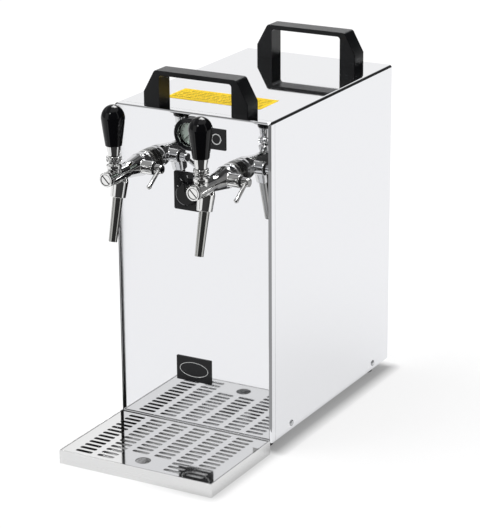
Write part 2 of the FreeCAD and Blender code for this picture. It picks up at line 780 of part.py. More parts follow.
def tap_body(side, x):
    rear = "gasket_thick + fit_gap / 6"
    groove = "barrel_radius - barrel_groove"
    first = "gasket_thick + barrel_groove_start"
    last = first + " + barrel_groove_width"
    full = "barrel_radius"
    profile = [(0, rear), (full + " - barrel_bevel / 2", rear), (full, rear + " + barrel_bevel"), (full, first),
               (groove, first + " + barrel_groove"), (groove, last + " + barrel_groove"),
               (full, last + " + 2 * barrel_groove"), (full, BARREL_END + " - 3 * barrel_bevel"),
               (full + " - barrel_bevel", BARREL_END),
               ("nose_radius", BARREL_END + " + taper_length"), ("nose_radius", "nose_end"), (0, "nose_end")]
    barrel = turned(side + "_barrel", profile, x, 0, "tap_z", "front")
    boss = rod(side + "_boss", "boss_radius", "boss_reach", x, LEVER_Y, LEVER_Z, "right")
    bell = [(0, "socket_start"), ("socket_root", "socket_start"), ("socket_swell", "nose_radius"),
            ("socket_radius", "socket_length"), (0, "socket_length")]
    socket = turned(side + "_socket", bell, x, "-socket_forward", "tap_z", angle="180 - spout_lean")
    seat = rod(side + "_seat", "seat_radius", "pivot_z - tap_z", x, "-handle_forward", "tap_z")
    solid = fuse(side + "_tap_fuse", barrel, boss, socket, seat)
    tools = [
        rod(side + "_rear_bore", "shank_radius + fit_gap / 6", "shank_socket + 1", x, "-gasket_thick + 1",
            "tap_z", "front"),
        rod(side + "_flow_bore", "shank_bore", "nose_end - gasket_thick - cap_plug_length / 2", x,
            "-gasket_thick", "tap_z", "front"),
        rod(side + "_cap_bore", "cap_plug_radius + fit_gap / 2", "cap_plug_length + 1 + fit_gap", x,
            "-nose_end + cap_plug_length + fit_gap", "tap_z", "front"),
        rod(side + "_ball_bore", "ball_bore", "ball_radius + 2", x, "-handle_forward",
            "pivot_z - ball_radius - 0.5"),
        rod(side + "_pin_bore", "lever_pin_radius + running_gap", "lever_pin_length + 1",
            "%s + boss_reach - lever_pin_length" % x, LEVER_Y, LEVER_Z, "right"),
        rod(side + "_spout_bore", "spout_top_radius + fit_gap / 6", "socket_length - spout_start + 1", x,
            "-socket_forward - spout_start * sin(spout_lean)", "tap_z - spout_start * cos(spout_lean)",
            angle="180 - spout_lean"),
        rod(side + "_duct", "duct_radius", "spout_start + 1", x, "-socket_forward", "tap_z",
            angle="180 - spout_lean"),
    ]
    finish(side + "_tap_body", cut(side + "_tap_cut", solid, *tools))


def tap_spout(side, x):
    outer, tip, wall = "spout_top_radius", "spout_tip_radius", "spout_wall"
    profile = [(outer + " - " + wall, "spout_start + 0.2"), (outer, "spout_start + 0.2"),
               (outer, "socket_length + 1"), (tip, "spout_end"), (tip + " - " + wall, "spout_end"),
               (outer + " - " + wall, "socket_length + 1")]
    finish(side + "_spout", turned(side + "_spout_tube", profile, x, "-socket_forward", "tap_z",
                                   angle="180 - spout_lean"))


def tap_lever(side, x):
    start = "%s + boss_reach + seal_thick + 0.1" % x
    end = "lever_hub_length"
    full = "lever_hub_radius"
    narrow = full + " - lever_hub_bevel"
    neck = full + " - lever_hub_groove"
    profile = [(0, 0), (narrow, 0), (full, "lever_hub_bevel"), (full, end + " - 7 * lever_hub_bevel"),
               (neck, end + " - 6 * lever_hub_bevel"), (neck, end + " - 4 * lever_hub_bevel"),
               (full, end + " - 3 * lever_hub_bevel"), (narrow, end), (0, end)]
    hub = turned(side + "_hub", profile, start, LEVER_Y, LEVER_Z, "right")
    pin = rod(side + "_pin", "lever_pin_radius", "lever_pin_length + seal_thick",
              "%s + fit_gap - lever_pin_length - seal_thick" % start, LEVER_Y, LEVER_Z, "right")
    middle = "%s + lever_hub_length / 2" % start
    arm = rod(side + "_arm", "lever_rod", "lever_length", middle, LEVER_Y, LEVER_Z, angle="90 + lever_droop")
    tip = ball(side + "_tip", "lever_tip", middle, "%s - lever_length * cos(lever_droop)" % LEVER_Y,
               LEVER_Z + " - lever_length * sin(lever_droop)")
    finish(side + "_lever", fuse(side + "_lever_fuse", hub, pin, arm, tip))
    bore = "lever_pin_radius + running_gap"
    edge = "seal_radius - seal_bevel"
    ring = [(bore, "seat_gap"), (edge, "seat_gap"), ("seal_radius", "seal_thick / 2"), (edge, "seal_thick"),
            (bore, "seal_thick")]
    return turned(side + "_seal", ring, "%s + boss_reach" % x, LEVER_Y, LEVER_Z, "right")


def tap_handle(side, x):
    y = "-handle_forward"
    joint = ball(side + "_ball", "ball_radius", x, y, "pivot_z")
    stem = rod(side + "_stem_rod", "stem_radius", "stem_length", x, y, "pivot_z")
    finish(side + "_handle_stem", fuse(side + "_stem_fuse", joint, stem))
    nut = hexagon(side + "_nut_blank", "lock_nut_size", "lock_nut_height", x, y, "pivot_z + lock_nut_start")
    hole = rod(side + "_nut_hole", "stem_radius + press_gap", 20, x, y, "pivot_z + 4")
    finish(side + "_lock_nut", cut(side + "_lock_nut_cut", nut, hole))
    bore = "stem_radius + press_gap"
    sleeve = [(bore, 0), ("ferrule_foot", 0), ("ferrule_foot", 1), ("ferrule_top", "ferrule_height"),
              (bore, "ferrule_height")]
    finish(side + "_ferrule", turned(side + "_sleeve", sleeve, x, y, "pivot_z + ferrule_start"))
    foot = "pivot_z + ferrule_start + ferrule_height + seat_gap"
    grip = cone(side + "_grip", "knob_foot", "knob_radius", "knob_taper", x, y, foot)
    dome = doc.addObject("Part::Ellipsoid", side + "_dome")
    bind(dome, Radius1="knob_dome", Radius2="knob_radius", Radius3="knob_radius")
    dome.Angle1 = 0
    place(dome, x, y, foot + " + knob_taper")
    socket = rod(side + "_knob_bore", bore, "stem_length - ferrule_start - ferrule_height + 1", x, y,
                 foot + " - 0.5")
    finish(side + "_knob", cut(side + "_knob_cut", fuse(side + "_knob_fuse", grip, dome), socket))


def tap_bonnet(side, x):
    ring = [("ball_bore", "seat_gap"), ("bonnet_radius - bonnet_bevel", "seat_gap"),
            ("bonnet_radius", "seat_gap + bonnet_bevel"), ("bonnet_radius", "bonnet_rim"),
            ("bonnet_top_radius", "bonnet_height"), ("ball_bore", "bonnet_height")]
    return turned(side + "_bonnet", ring, x, "-handle_forward", "pivot_z")


def tap_gasket(side, x):
    deep = "gasket_radius - gasket_groove"
    bore = "shank_radius + fit_gap"
    corners = [(bore, 0), ("gasket_radius", 0)]
    for rib in (0, 1):
        start = "%d * gasket_pitch + gasket_rib" % rib
        end = "%d * gasket_pitch" % (rib + 1)
        corners += [("gasket_radius", start), (deep, start + " + gasket_bevel"),
                    (deep, end + " - gasket_bevel"), ("gasket_radius", end)]
    corners += [("gasket_radius", "gasket_thick"), (bore, "gasket_thick")]
    return turned(side + "_gasket", corners, x, 0, "tap_z", "front")


def tap_cap(side, x):
    start = "nose_end + seat_gap"
    end = "nose_end + cap_thick"
    rim = "nose_radius - 0.2"
    face = end + " - cap_rim_height"
    disc = [(0, "nose_end - cap_plug_length"), ("cap_plug_radius", "nose_end - cap_plug_length"),
            ("cap_plug_radius", start), (rim, start), (rim, end + " - cap_bevel"), (rim + " - cap_bevel", end),
            (rim + " - cap_rim + cap_rim_height / 2", end), (rim + " - cap_rim", face), (0, face)]
    cap = turned(side + "_cap_disc", disc, x, 0, "tap_z", "front")
    reach = rim + " - cap_rim"
    groove = slab(side + "_cap_slot", rectangle("cap_slot_width", "-(%s)" % reach, reach),
                  "cap_slot_depth + cap_rim_height", x, "-(%s)" % end, "tap_z")
    groove.Placement.Rotation = FreeCAD.Rotation(V(0, 1, 0), -45)
    return cut(side + "_cap", cap, groove)


def tap_shank(side, x):
    end = "gasket_thick + shank_socket - 0.2"
    tube = [("shank_bore", "-shank_inside"), ("shank_radius", "-shank_inside"), ("shank_radius", end),
            ("shank_bore", end)]
    return turned(side + "_shank", tube, x, 0, "tap_z", "front")


def tap_nut(side, x):
    start = "cover_sheet"
    nut = hexagon(side + "_back_nut", "shank_nut_size", "shank_nut_thick", x, start, "tap_z", "back")
    hole = rod(side + "_back_hole", "shank_radius + seat_gap", "shank_nut_thick + 4", x, start + " - 1", "tap_z",
               "back")
    return cut(side + "_nut", nut, hole)


def make_taps():
    seals = []
    for side, x in SIDES:
        tap_body(side, x)
        tap_spout(side, x)
        seals.append(tap_lever(side, x))
        tap_handle(side, x)
    finish("lever_seals", group("seal_set", *seals))
    for label, maker in (("bonnet_nuts", tap_bonnet), ("tap_gaskets", tap_gasket), ("nose_caps", tap_cap),
                         ("tap_shanks", tap_shank), ("shank_nuts", tap_nut)):
        finish(label, group(label + "_set", *[maker(side, x) for side, x in SIDES]))


# drip tray and grille: the grille stands on the tray's floor on its two bent sides

def make_tray():
    front = "-tray_depth - tray_gap"
    outer = slab("tray_outer", rectangle("tray_width", 0, "tray_depth"), "tray_height", 0, front, 0, "XY")
    soften(outer, "tray_corner", lambda d, c, b: near(abs(d.z), 1))
    inner = box("tray_inner", "tray_width - 2 * tray_sheet", "tray_depth - 2 * tray_sheet", "tray_height", 0,
                front + " + tray_sheet", "tray_sheet")
    finish("drip_tray", cut("tray_cut", outer, inner))


LONG_ROWS = 10
SHORT_ROWS = 3
COLUMNS = 6


def make_grille():
    width = "tray_width - 2 * tray_sheet - 2 * grille_side_gap"
    length = "tray_depth - 2 * tray_sheet - grille_side_gap - grille_rear_gap"
    front = "-tray_depth - tray_gap + tray_sheet + grille_side_gap"
    under = GRILLE_TOP + " - grille_sheet"
    plate = slab("grille_plate", rectangle(width, 0, length), "grille_sheet", 0, front, under, "XY")
    back_row = "(tray_depth + tray_gap - tray_sheet - grille_side_gap - slot_rear_margin)"
    first = LONG_ROWS - 1
    rows = ["(%s - %d * slot_pitch_y)" % (back_row, step) for step in (first, first + SHORT_ROWS)]
    left = (1 - COLUMNS) / 2
    pierce(plate, "XY", [slot("%s * slot_pitch_x" % left, rows[0], "slot_length", "slot_width")],
           [("H_Axis", "%d * slot_pitch_x" % (COLUMNS - 1), COLUMNS),
            ("V_Axis", "%d * slot_pitch_y" % first, LONG_ROWS)])
    for column in (left, -left - 1):
        pierce(plate, "XY", [slot("%s * slot_pitch_x" % column, rows[1], "slot_length", "slot_width")],
               [("H_Axis", "slot_pitch_x", 2), ("V_Axis", "%d * slot_pitch_y" % (SHORT_ROWS - 1), SHORT_ROWS)])
    hole = drill("finger_hole", "finger_radius", 0, "-finger_forward", GRILLE_TOP, "up")
    legs = [box("grille_leg", "grille_sheet", length, "%s - tray_sheet" % under,
                "%d * ((%s) / 2 - grille_sheet / 2)" % (side, width), front, "tray_sheet") for side in (-1, 1)]
    finish("drip_grille", fuse("grille_fuse", cut("grille_cut", plate, hole), *legs))


# cooling core: one aluminium core, with the evaporator and two beer coils wound round it as sleeves

def make_core():
    depth = "2 * (jacket_half + frame_margin)"
    deck = box("frame_deck", "2 * (%s - pan_sheet - seam)" % INNER_X, depth, "frame_sheet", 0,
               "frame_front", DECK + " - frame_sheet")
    legs = [box("frame_leg", "frame_sheet", depth, "frame_height",
                "%d * (%s - pan_sheet - seam - frame_sheet / 2)" % (side, INNER_X), "frame_front", FLOOR)
            for side in (-1, 1)]
    holes = [drill("frame_hole", "screw_radius + screw_slack", "%d * (case_width - screw_length) / 2" % side,
                   "side_screw_front", "side_screw_height", "right") for side in (-1, 1)]
    finish("block_frame", cut("frame_cut", fuse("frame_fuse", deck, *legs), *holes))
    cavity = COIL_OUTER + " + fit_gap"
    cup = box("jacket_block", "2 * jacket_half", "2 * jacket_half", "jacket_height", 0,
              CORE_Y + " - jacket_half", DECK)
    tools = [rod("jacket_bore", cavity, "jacket_height", 0, CORE_Y, DECK + " + jacket_floor")]
    for x in ("-tap_x", "tap_x"):
        tools.append(rod("outlet_bore", "line_radius + fit_gap", "jacket_half + 1", x,
                         CORE_Y + " - jacket_half - 1", "tap_z", "back"))
        tools.append(rod("inlet_bore", "line_radius + fit_gap", "jacket_half + 1", x, CORE_Y, "inlet_z",
                         "back"))
    lid = box("jacket_lid_block", "2 * jacket_half", "2 * jacket_half", "jacket_lid", 0,
              CORE_Y + " - jacket_half", DECK + " + jacket_height")
    finish("insulation_jacket", group("jacket_set", cut("jacket_cut", cup, *tools), lid))
    base = DECK + " + jacket_floor"
    tall = "jacket_height - jacket_floor - core_headroom"
    finish("cooling_core", rod("core_bar", "core_radius", tall, 0, CORE_Y, base))
    sleeves = []
    inner = "core_radius + fit_gap"
    for wall in ("evaporator_wall", "coil_wall", "coil_wall"):
        outer = "%s + %s" % (inner, wall)
        tube = [(inner, 0), (outer, 0), (outer, tall), (inner, tall)]
        sleeves.append(turned("sleeve", tube, 0, CORE_Y, base))
        inner = outer + " + fit_gap"
    finish("evaporator", sleeves[0])
    finish("beer_coils", group("coil_set", *sleeves[1:]))


def make_beer_lines():
    """Straight stretches of tube between the shanks, the coils and the rear fittings."""
    wall = "line_radius - line_wall"
    lines = []
    for x in ("-tap_x", "tap_x"):
        front = "shank_inside + joint_gap"
        run = "%s - line_stop - (%s)" % (CORE_Y, front)
        lines.append(turned("outlet_line", [(wall, 0), ("line_radius", 0), ("line_radius", run), (wall, run)],
                            x, front, "tap_z", "back"))
        rear = "%s - fitting_inside - joint_gap" % REAR_FACE
        run = "%s - (%s) - line_stop" % (rear, CORE_Y)
        lines.append(turned("inlet_line", [(wall, 0), ("line_radius", 0), ("line_radius", run), (wall, run)],
                            x, rear, "inlet_z", "front"))
    finish("beer_lines", group("line_set", *lines))


# machinery on the base pan

FAN_BLADES = 5
FINS = 17


def make_machinery():
    shell = [(0, 0), ("compressor_radius - compressor_round", 0), ("compressor_radius", "compressor_round"),
             ("compressor_radius", "compressor_shoulder"),
             ("compressor_crown", "compressor_height - compressor_round / 2"), (0, "compressor_height")]
    pot = turned("compressor_shell", shell, "compressor_x", "compressor_y", FLOOR + " + plate_thick - 1")
    foot = box("compressor_foot", "compressor_plate", "compressor_plate", "plate_thick", "compressor_x",
               "compressor_y - compressor_plate / 2", FLOOR)
    finish("refrigeration_compressor", fuse("compressor_fuse", pot, foot))
    block = slab("condenser_block", rectangle("condenser_width", 0, "condenser_height"), "condenser_depth", 0,
                 REAR_INNER + " - seam - pan_sheet - seam - condenser_depth", FLOOR)
    left = "-condenser_width / 2 + condenser_edge"
    pierce(block, "XZ", [[(left, "condenser_edge"), (left + " + fin_gap", "condenser_edge"),
                          (left + " + fin_gap", "condenser_height - condenser_edge"),
                          (left, "condenser_height - condenser_edge")]],
           [("H_Axis", "%d * fin_pitch" % (FINS - 1), FINS)])
    finish("condenser", block)
    front = "(%s - 2 * seam - pan_sheet - condenser_depth - fan_gap - fan_depth)" % REAR_INNER
    axis = "(%s + fan_size / 2)" % FLOOR
    shroud = cut("shroud", box("shroud_block", "fan_size", "fan_depth", "fan_size", 0, front, FLOOR),
                 rod("shroud_hole", "fan_hole", "fan_depth + 2", 0, front + " - 1", axis, "back"))
    rear = "%s + fan_depth - fan_boss" % front
    strut_y = rear + " + fan_boss - 1 - strut_thick"
    span = "(fan_size - 2)"
    struts = [rod("fan_boss_disc", "fan_hub", "fan_boss", 0, rear, axis, "back"),
              box("fan_strut_level", span, "strut_thick", "strut_width", 0, strut_y,
                  axis + " - strut_width / 2"),
              box("fan_strut_upright", "strut_width", "strut_thick", span, 0, strut_y,
                  axis + " - %s / 2" % span)]
    shaft_hole = rod("fan_shaft_hole", "fan_shaft + running_gap", "2 * fan_boss", 0, rear + " - fan_boss / 2",
                     axis, "back")
    finish("fan_frame", cut("fan_frame_cut", fuse("fan_frame_fuse", shroud, *struts), shaft_hole))
    stop = "fan_depth - fan_boss - fan_setback - 1"
    tip = stop + " + fan_boss"
    hub = turned("fan_hub_turn", [(0, 0), ("fan_hub - fan_hub_bevel", 0), ("fan_hub", "fan_hub_bevel"),
                                  ("fan_hub", stop), ("fan_shaft", stop), ("fan_shaft", tip), (0, tip)],
                 0, front + " + fan_setback", axis, "back")
    outline = [("-blade_foot / 2", "fan_hub - fan_hub_bevel"), ("blade_foot / 2", "fan_hub - fan_hub_bevel"),
               ("blade_tip / 2", "fan_blade"), ("-blade_tip / 2", "fan_blade")]
    blades = []
    blade_y = front + " + fan_setback + blade_setback"
    for step in range(FAN_BLADES):
        blade = slab("fan_blade_%d" % step, outline, "blade_thick", 0, blade_y, axis)
        blade.Placement.Rotation = FreeCAD.Rotation(V(0, 1, 0), 360 * step / FAN_BLADES)
        blades.append(blade)
    finish("fan_rotor", fuse("fan_rotor_fuse", hub, *blades))
    setback = "panel_return + pump_setback"
    case = box("pump_case", "pump_width", "pump_depth", "pump_height", 0, setback, FLOOR)
    head = rod("pump_head_can", "pump_head", "pump_head_rise + 2", "-pump_width / 4",
               setback + " + pump_depth / 2", FLOOR + " + pump_height - 2")
    finish("air_pump", fuse("pump_fuse", case, head))


# rear fittings: heights count backwards from the rear panel

def fitting(name, x, socket, scale):
    reach = "fitting_reach"
    neck = "fitting_neck"
    collar = "fitting_collar * %s" % scale
    nose = "fitting_nose * %s" % scale
    corners = [("fitting_bore", "-fitting_inside"), ("fitting_shank", "-fitting_inside"), ("fitting_shank", 0),
               (collar, 0), (collar, neck + " - 1"), (collar + " - 1", neck), (nose, neck), (nose, reach),
               (socket, reach), (socket, reach + " - tube_depth"), ("fitting_bore", reach + " - tube_depth")]
    return turned(name, corners, x, REAR_FACE, "inlet_z", "back")


def make_rear_fittings():
    finish("beer_inlets", group("inlet_set", fitting("inlet_left", "-tap_x", "tube_socket", "1"),
                                fitting("inlet_right", "tap_x", "tube_socket", "1")))
    finish("air_outlet", fitting("outlet_air", "0", "air_socket", "air_fitting_scale"))
    gland = [("gland_bore", "-gland_inside"), ("fitting_shank", "-gland_inside"), ("fitting_shank", 0),
             ("gland_radius", 0), ("gland_radius", "gland_reach - gland_bevel"),
             ("gland_radius - gland_bevel", "gland_reach"), ("gland_bore", "gland_reach")]
    finish("cord_gland", turned("gland_turn", gland, "gland_x", REAR_FACE, "gland_z", "back"))
    face = REAR_FACE
    wide, tall = "switch_width", "switch_height"
    rim = box("switch_rim_block", wide + " + 2 * switch_rim", "switch_rim_thick", tall + " + 2 * switch_rim",
              "switch_x", face, "switch_z - switch_height / 2 - switch_rim")
    can = box("switch_can", wide, "switch_depth", tall, "switch_x", face + " - switch_depth + 1",
              "switch_z - switch_height / 2")
    well = box("switch_well", wide + " - 2 * switch_wall", "switch_well_depth + switch_rim_thick + 1",
               tall + " - 2 * switch_wall", "switch_x", face + " - switch_well_depth",
               "switch_z - switch_height / 2 + switch_wall")
    grip = "switch_width / 2 - switch_wall + rocker_pin_grip"
    pin_hole = rod("rocker_pin_hole", "rocker_pin + running_gap", "2 * (%s) + 0.2" % grip,
                   "switch_x - (%s) - 0.1" % grip, face + " - 1", "switch_z", "right")
    finish("switch_frame", cut("switch_frame_cut", fuse("switch_fuse", rim, can), well, pin_hole))
    half = "(switch_height - 2 * switch_wall) / 2 - rocker_play"
    keel = "rocker_keel_width / 2"
    rocker = [(half, "rocker_bulge / 2 - fit_gap"), (0, "-rocker_dip"), ("-(%s)" % half, "rocker_bulge"),
              ("-(%s) + 1" % half, "-rocker_bulge"), ("-" + keel, "-rocker_keel"), (keel, "-rocker_keel"),
              ("%s - 1" % half, "-rocker_bulge - 1")]
    body = doc.addObject("PartDesign::Body", "rocker_body")
    pad = body.newObject("PartDesign::Pad", "rocker_pad")
    pad.Profile = draw(body, "XY", [rocker])
    bind(pad, Length="switch_width - 2 * switch_wall - rocker_play")
    body.Tip = pad
    body.Placement = FreeCAD.Placement(V(0, 0, 0), FreeCAD.Rotation(V(0, 0, -1), V(0, 1, 0), V(1, 0, 0), "ZXY"))
    bind(body, Placement__Base__x="switch_x - (switch_width - 2 * switch_wall - rocker_play) / 2",
         Placement__Base__y=face + " + " + FRONT, Placement__Base__z="switch_z")
    pin = rod("rocker_pin_rod", "rocker_pin", "2 * (%s)" % grip, "switch_x - (%s)" % grip, face + " - 1",
              "switch_z", "right")
    finish("switch_rocker", fuse("rocker_fuse", body, pin))


make_front_panel()
make_wrap_cover()
make_base_pan()
make_rear_panel()
make_feet()
make_casing_screws()
make_handles()
make_plates()
make_gauge()
make_thermostat()
make_taps()
make_tray()
make_grille()
make_core()
make_beer_lines()
make_machinery()
make_rear_fittings()
doc.recompute()

faults = [item.Name for item in doc.Objects if "Invalid" in item.State or "Error" in item.State]
for item in PARTS:
    if item.Shape.isNull() or not item.Shape.isValid():
        faults.append(item.Label)
if faults:
    raise SystemExit("faulty pieces: " + ", ".join(faults))

os.makedirs("parts", exist_ok=True)
for item in PARTS:
    item.Shape.exportStep("parts/%s.step" % item.Label)
whole = FreeCAD.BoundBox()
for item in PARTS:
    whole.add(item.Shape.BoundBox)
print(len(PARTS), "sub-parts,", sum(len(item.Shape.Solids) for item in PARTS), "solids")
print("low corner", [round(value, 2) for value in (whole.XMin, whole.YMin, whole.ZMin)])
print("high corner", [round(value, 2) for value in (whole.XMax, whole.YMax, whole.ZMax)])
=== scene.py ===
# %% [markdown]
# # A counter-top beer cooler with two taps
#
# The steel casing, the taps and the drip tray come packed from the CAD model, in metres and already in
# place. This lesson dresses them: it sets the camera and the studio, gives every surface a finish made
# of shader nodes, and adds the small printed and pressed details that the plain solids don't carry.

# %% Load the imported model
import json
import math

import bmesh
import bpy
import numpy as np
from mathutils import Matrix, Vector


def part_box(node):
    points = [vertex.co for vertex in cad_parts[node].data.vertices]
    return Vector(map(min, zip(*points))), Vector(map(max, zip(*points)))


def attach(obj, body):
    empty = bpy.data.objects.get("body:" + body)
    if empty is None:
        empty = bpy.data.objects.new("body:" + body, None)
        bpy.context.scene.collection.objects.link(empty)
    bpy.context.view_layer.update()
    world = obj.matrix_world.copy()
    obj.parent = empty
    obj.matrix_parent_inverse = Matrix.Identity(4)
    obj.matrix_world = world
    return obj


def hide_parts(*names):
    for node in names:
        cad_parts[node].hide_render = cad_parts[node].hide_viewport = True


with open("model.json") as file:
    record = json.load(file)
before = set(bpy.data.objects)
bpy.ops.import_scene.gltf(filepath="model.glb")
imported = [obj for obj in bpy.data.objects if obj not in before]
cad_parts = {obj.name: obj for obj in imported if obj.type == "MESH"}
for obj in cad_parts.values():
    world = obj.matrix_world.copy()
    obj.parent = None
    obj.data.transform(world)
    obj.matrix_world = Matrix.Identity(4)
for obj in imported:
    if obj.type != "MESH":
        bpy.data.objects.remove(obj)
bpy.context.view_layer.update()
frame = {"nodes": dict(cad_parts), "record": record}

# %% [markdown]
# The camera stands to the right of the cooler and above it, almost three metres away. A long lens keeps
# the upright edges almost parallel. Its place is given as a point and two angles, and a small roll
# tilts the picture the way the photographer held the camera.

# %% Camera
AZIMUTH = math.radians(29.17)
ELEVATION = math.radians(18.71)
ROLL = math.radians(-0.41)
CAMERA_PLACE = (1.3217, -2.3401, 1.1190)
LENS_MM = 146.92
LENS_SHIFT = (-0.0064, -0.0006)

camera = bpy.data.objects.new("camera", bpy.data.cameras.new("camera"))
bpy.context.scene.collection.objects.link(camera)
bpy.context.scene.camera = camera
camera.location = CAMERA_PLACE
camera.rotation_mode = "XYZ"
camera.rotation_euler = (math.pi / 2 - ELEVATION, 0, AZIMUTH)
camera.rotation_euler.rotate_axis("Z", ROLL)
camera.data.lens = LENS_MM
camera.data.shift_x, camera.data.shift_y = LENS_SHIFT
camera.data.clip_end = 60
print("camera", tuple(round(v, 3) for v in camera.location))

# %% [markdown]
# Polished steel has hardly any colour of its own: it shows the studio. So the studio comes first. The
# floor is a wide pale sheet. It has light of its own for the camera and for reflections, which keeps it
# white there. Close to the casing and the tray, on their right, a distance mask dims that light: a
# painted shadow, narrow and soft, that they stand on.

# %% Helpers for shader nodes
def new_material(name):
    """A fresh material with an empty node tree, and that tree."""
    material = bpy.data.materials.new(name)
    material.use_nodes = True
    material.node_tree.nodes.clear()
    return material, material.node_tree


def add_node(tree, kind, **values):
    """Adds a node of a kind and sets its properties and its unlinked sockets by name."""
    node = tree.nodes.new("ShaderNode" + kind)
    for key, value in values.items():
        if key in node.inputs:
            node.inputs[key].default_value = value
        else:
            setattr(node, key, value)
    return node


def link(tree, source, target):
    tree.links.new(source, target)


def math_node(tree, operation, a, b=0.0, clamp=False):
    """One arithmetic step. Each operand is a number or a socket."""
    node = tree.nodes.new("ShaderNodeMath")
    node.operation = operation
    node.use_clamp = clamp
    for socket, value in zip(node.inputs, (a, b)):
        if isinstance(value, (int, float)):
            socket.default_value = value
        else:
            link(tree, value, socket)
    return node.outputs[0]


# %% Floor
FLOOR_COLOUR = (0.3, 0.3, 0.302, 1)
FLOOR_GLOW = 0.75
FLOOR_RADIUS = 14
CASE_SHADE, CASE_REACH = 0.7, 0.021
TRAY_SHADE, TRAY_REACH = 0.32, 0.016
RIGHT_RISE = 12.0


def seen_directly(tree):
    """1 for rays from the camera, and for those that metal or glass sends on; 0 for the light itself."""
    path = add_node(tree, "LightPath")
    first = math_node(tree, "MAXIMUM", path.outputs["Is Camera Ray"], path.outputs["Is Glossy Ray"])
    return math_node(tree, "MAXIMUM", first, path.outputs["Is Transmission Ray"])


def near_plan(tree, spot, low, high, reach):
    """1 on a rectangle of the floor, falling evenly to 0 at a distance of reach from it."""
    away = 0.0
    for axis, start, end in (("X", low.x, high.x), ("Y", low.y, high.y)):
        off = math_node(tree, "ABSOLUTE", math_node(tree, "SUBTRACT", spot.outputs[axis], (start + end) / 2))
        out = math_node(tree, "MAXIMUM", math_node(tree, "SUBTRACT", off, (end - start) / 2), 0.0)
        away = math_node(tree, "ADD", math_node(tree, "MULTIPLY", out, out), away)
    share = math_node(tree, "DIVIDE", math_node(tree, "SQRT", away), reach)
    return math_node(tree, "SUBTRACT", 1.0, share, clamp=True)


floor_mesh = bpy.data.meshes.new("floor")
turn = np.linspace(0, 2 * math.pi, 96, endpoint=False)
rim = np.stack([FLOOR_RADIUS * np.cos(turn), FLOOR_RADIUS * np.sin(turn), np.zeros_like(turn)], 1)
floor_mesh.from_pydata(rim.tolist(), [], [list(range(len(rim)))])
floor = bpy.data.objects.new("floor", floor_mesh)
bpy.context.scene.collection.objects.link(floor)
material, tree = new_material("pale_floor")
diffuse = add_node(tree, "BsdfDiffuse", Color=FLOOR_COLOUR)
glow = add_node(tree, "Emission", Color=(1, 1, 1, 1))
spot = add_node(tree, "SeparateXYZ")
link(tree, add_node(tree, "TexCoord").outputs["Object"], spot.inputs[0])
# Painted shadow: the floor's own light is dimmed within a short reach of the casing and the tray, on their
# right.
case_painted_shadow = near_plan(tree, spot, *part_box("wrap_cover"), CASE_REACH)
tray_painted_shadow = near_plan(tree, spot, *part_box("drip_tray"), TRAY_REACH)
covered = math_node(tree, "MAXIMUM", math_node(tree, "MULTIPLY", case_painted_shadow, CASE_SHADE),
                    math_node(tree, "MULTIPLY", tray_painted_shadow, TRAY_SHADE))
right_side = math_node(tree, "MULTIPLY", spot.outputs["X"], RIGHT_RISE, clamp=True)
open_share = math_node(tree, "SUBTRACT", 1.0, math_node(tree, "MULTIPLY", covered, right_side))
lit = math_node(tree, "MULTIPLY", open_share, FLOOR_GLOW)
link(tree, math_node(tree, "MULTIPLY", seen_directly(tree), lit), glow.inputs["Strength"])
both = add_node(tree, "AddShader")
link(tree, diffuse.outputs[0], both.inputs[0])
link(tree, glow.outputs[0], both.inputs[1])
link(tree, both.outputs[0], add_node(tree, "OutputMaterial").inputs["Surface"])
floor_mesh.materials.append(material)

# %% [markdown]
# The room round the floor is white for the camera. Reflections see more of a room: a wide white ceiling,
# a white backdrop and dark walls in between. The dark parts draw the bends of a polished sheet and give
# chrome its strong blacks. Two small windows leave the white spots on top of the black grips. A zone is
# a range of directions across, deep and high, with the share of light that is left or that comes on top.

# %% World
WORLD_LIGHT = 0.72
ZONE_EDGE = 0.06
WINDOW_EDGE = 0.03


def ramp(tree, value, low, high):
    """0 below low and 1 above high, with a smooth step between."""
    node = add_node(tree, "MapRange", interpolation_type="SMOOTHSTEP")
    link(tree, value, node.inputs["Value"])
    node.inputs["From Min"].default_value = low
    node.inputs["From Max"].default_value = high
    return node.outputs["Result"]


def patch(tree, axes, x, y, z, soft=ZONE_EDGE):
    """A soft-edged box of directions, from three (low, high) pairs."""
    inside = 1.0
    for value, (low, high) in zip(axes, (x, y, z)):
        rise = ramp(tree, value, low - soft, low + soft)
        fall = math_node(tree, "SUBTRACT", 1.0, ramp(tree, value, high - soft, high + soft))
        inside = math_node(tree, "MULTIPLY", inside, math_node(tree, "MULTIPLY", rise, fall))
    return inside


world = bpy.data.worlds.new("studio")
bpy.context.scene.world = world
world.use_nodes = True
tree = world.node_tree
tree.nodes.clear()
direction = add_node(tree, "SeparateXYZ")
link(tree, add_node(tree, "TexCoord").outputs["Generated"], direction.inputs[0])
axes = [direction.outputs[name] for name in "XYZ"]
dark_zones = [
    ((-0.12, 1.2), (0.0, 1.2), (-0.3, 0.72), 0.03),
    ((-0.2, 1.0), (-1.2, -0.12), (-0.3, 0.8), 0.05),
    ((-0.75, -0.15), (-0.72, 0.45), (0.52, 1.0), 0.33),
    ((-1.2, -0.72), (-0.7, 0.7), (-0.3, 0.5), 0.3),
]
bright_zones = [
    ((-0.33, 0.12), (0.2, 0.7), (0.62, 0.95), 20.0),
    ((-0.1, 0.04), (-0.8, -0.62), (0.56, 0.7), 20.0),
]
room = 1.0
for across, deep, high, shade in dark_zones:
    covered = patch(tree, axes, across, deep, high)
    left_over = math_node(tree, "SUBTRACT", 1.0, math_node(tree, "MULTIPLY", covered, 1 - shade))
    room = math_node(tree, "MULTIPLY", left_over, room)
for across, deep, high, extra in bright_zones:
    covered = patch(tree, axes, across, deep, high, WINDOW_EDGE)
    room = math_node(tree, "ADD", room, math_node(tree, "MULTIPLY", covered, extra))
path = add_node(tree, "LightPath")
glossy = path.outputs["Is Glossy Ray"]
plain = math_node(tree, "MAXIMUM", path.outputs["Is Camera Ray"], path.outputs["Is Transmission Ray"])
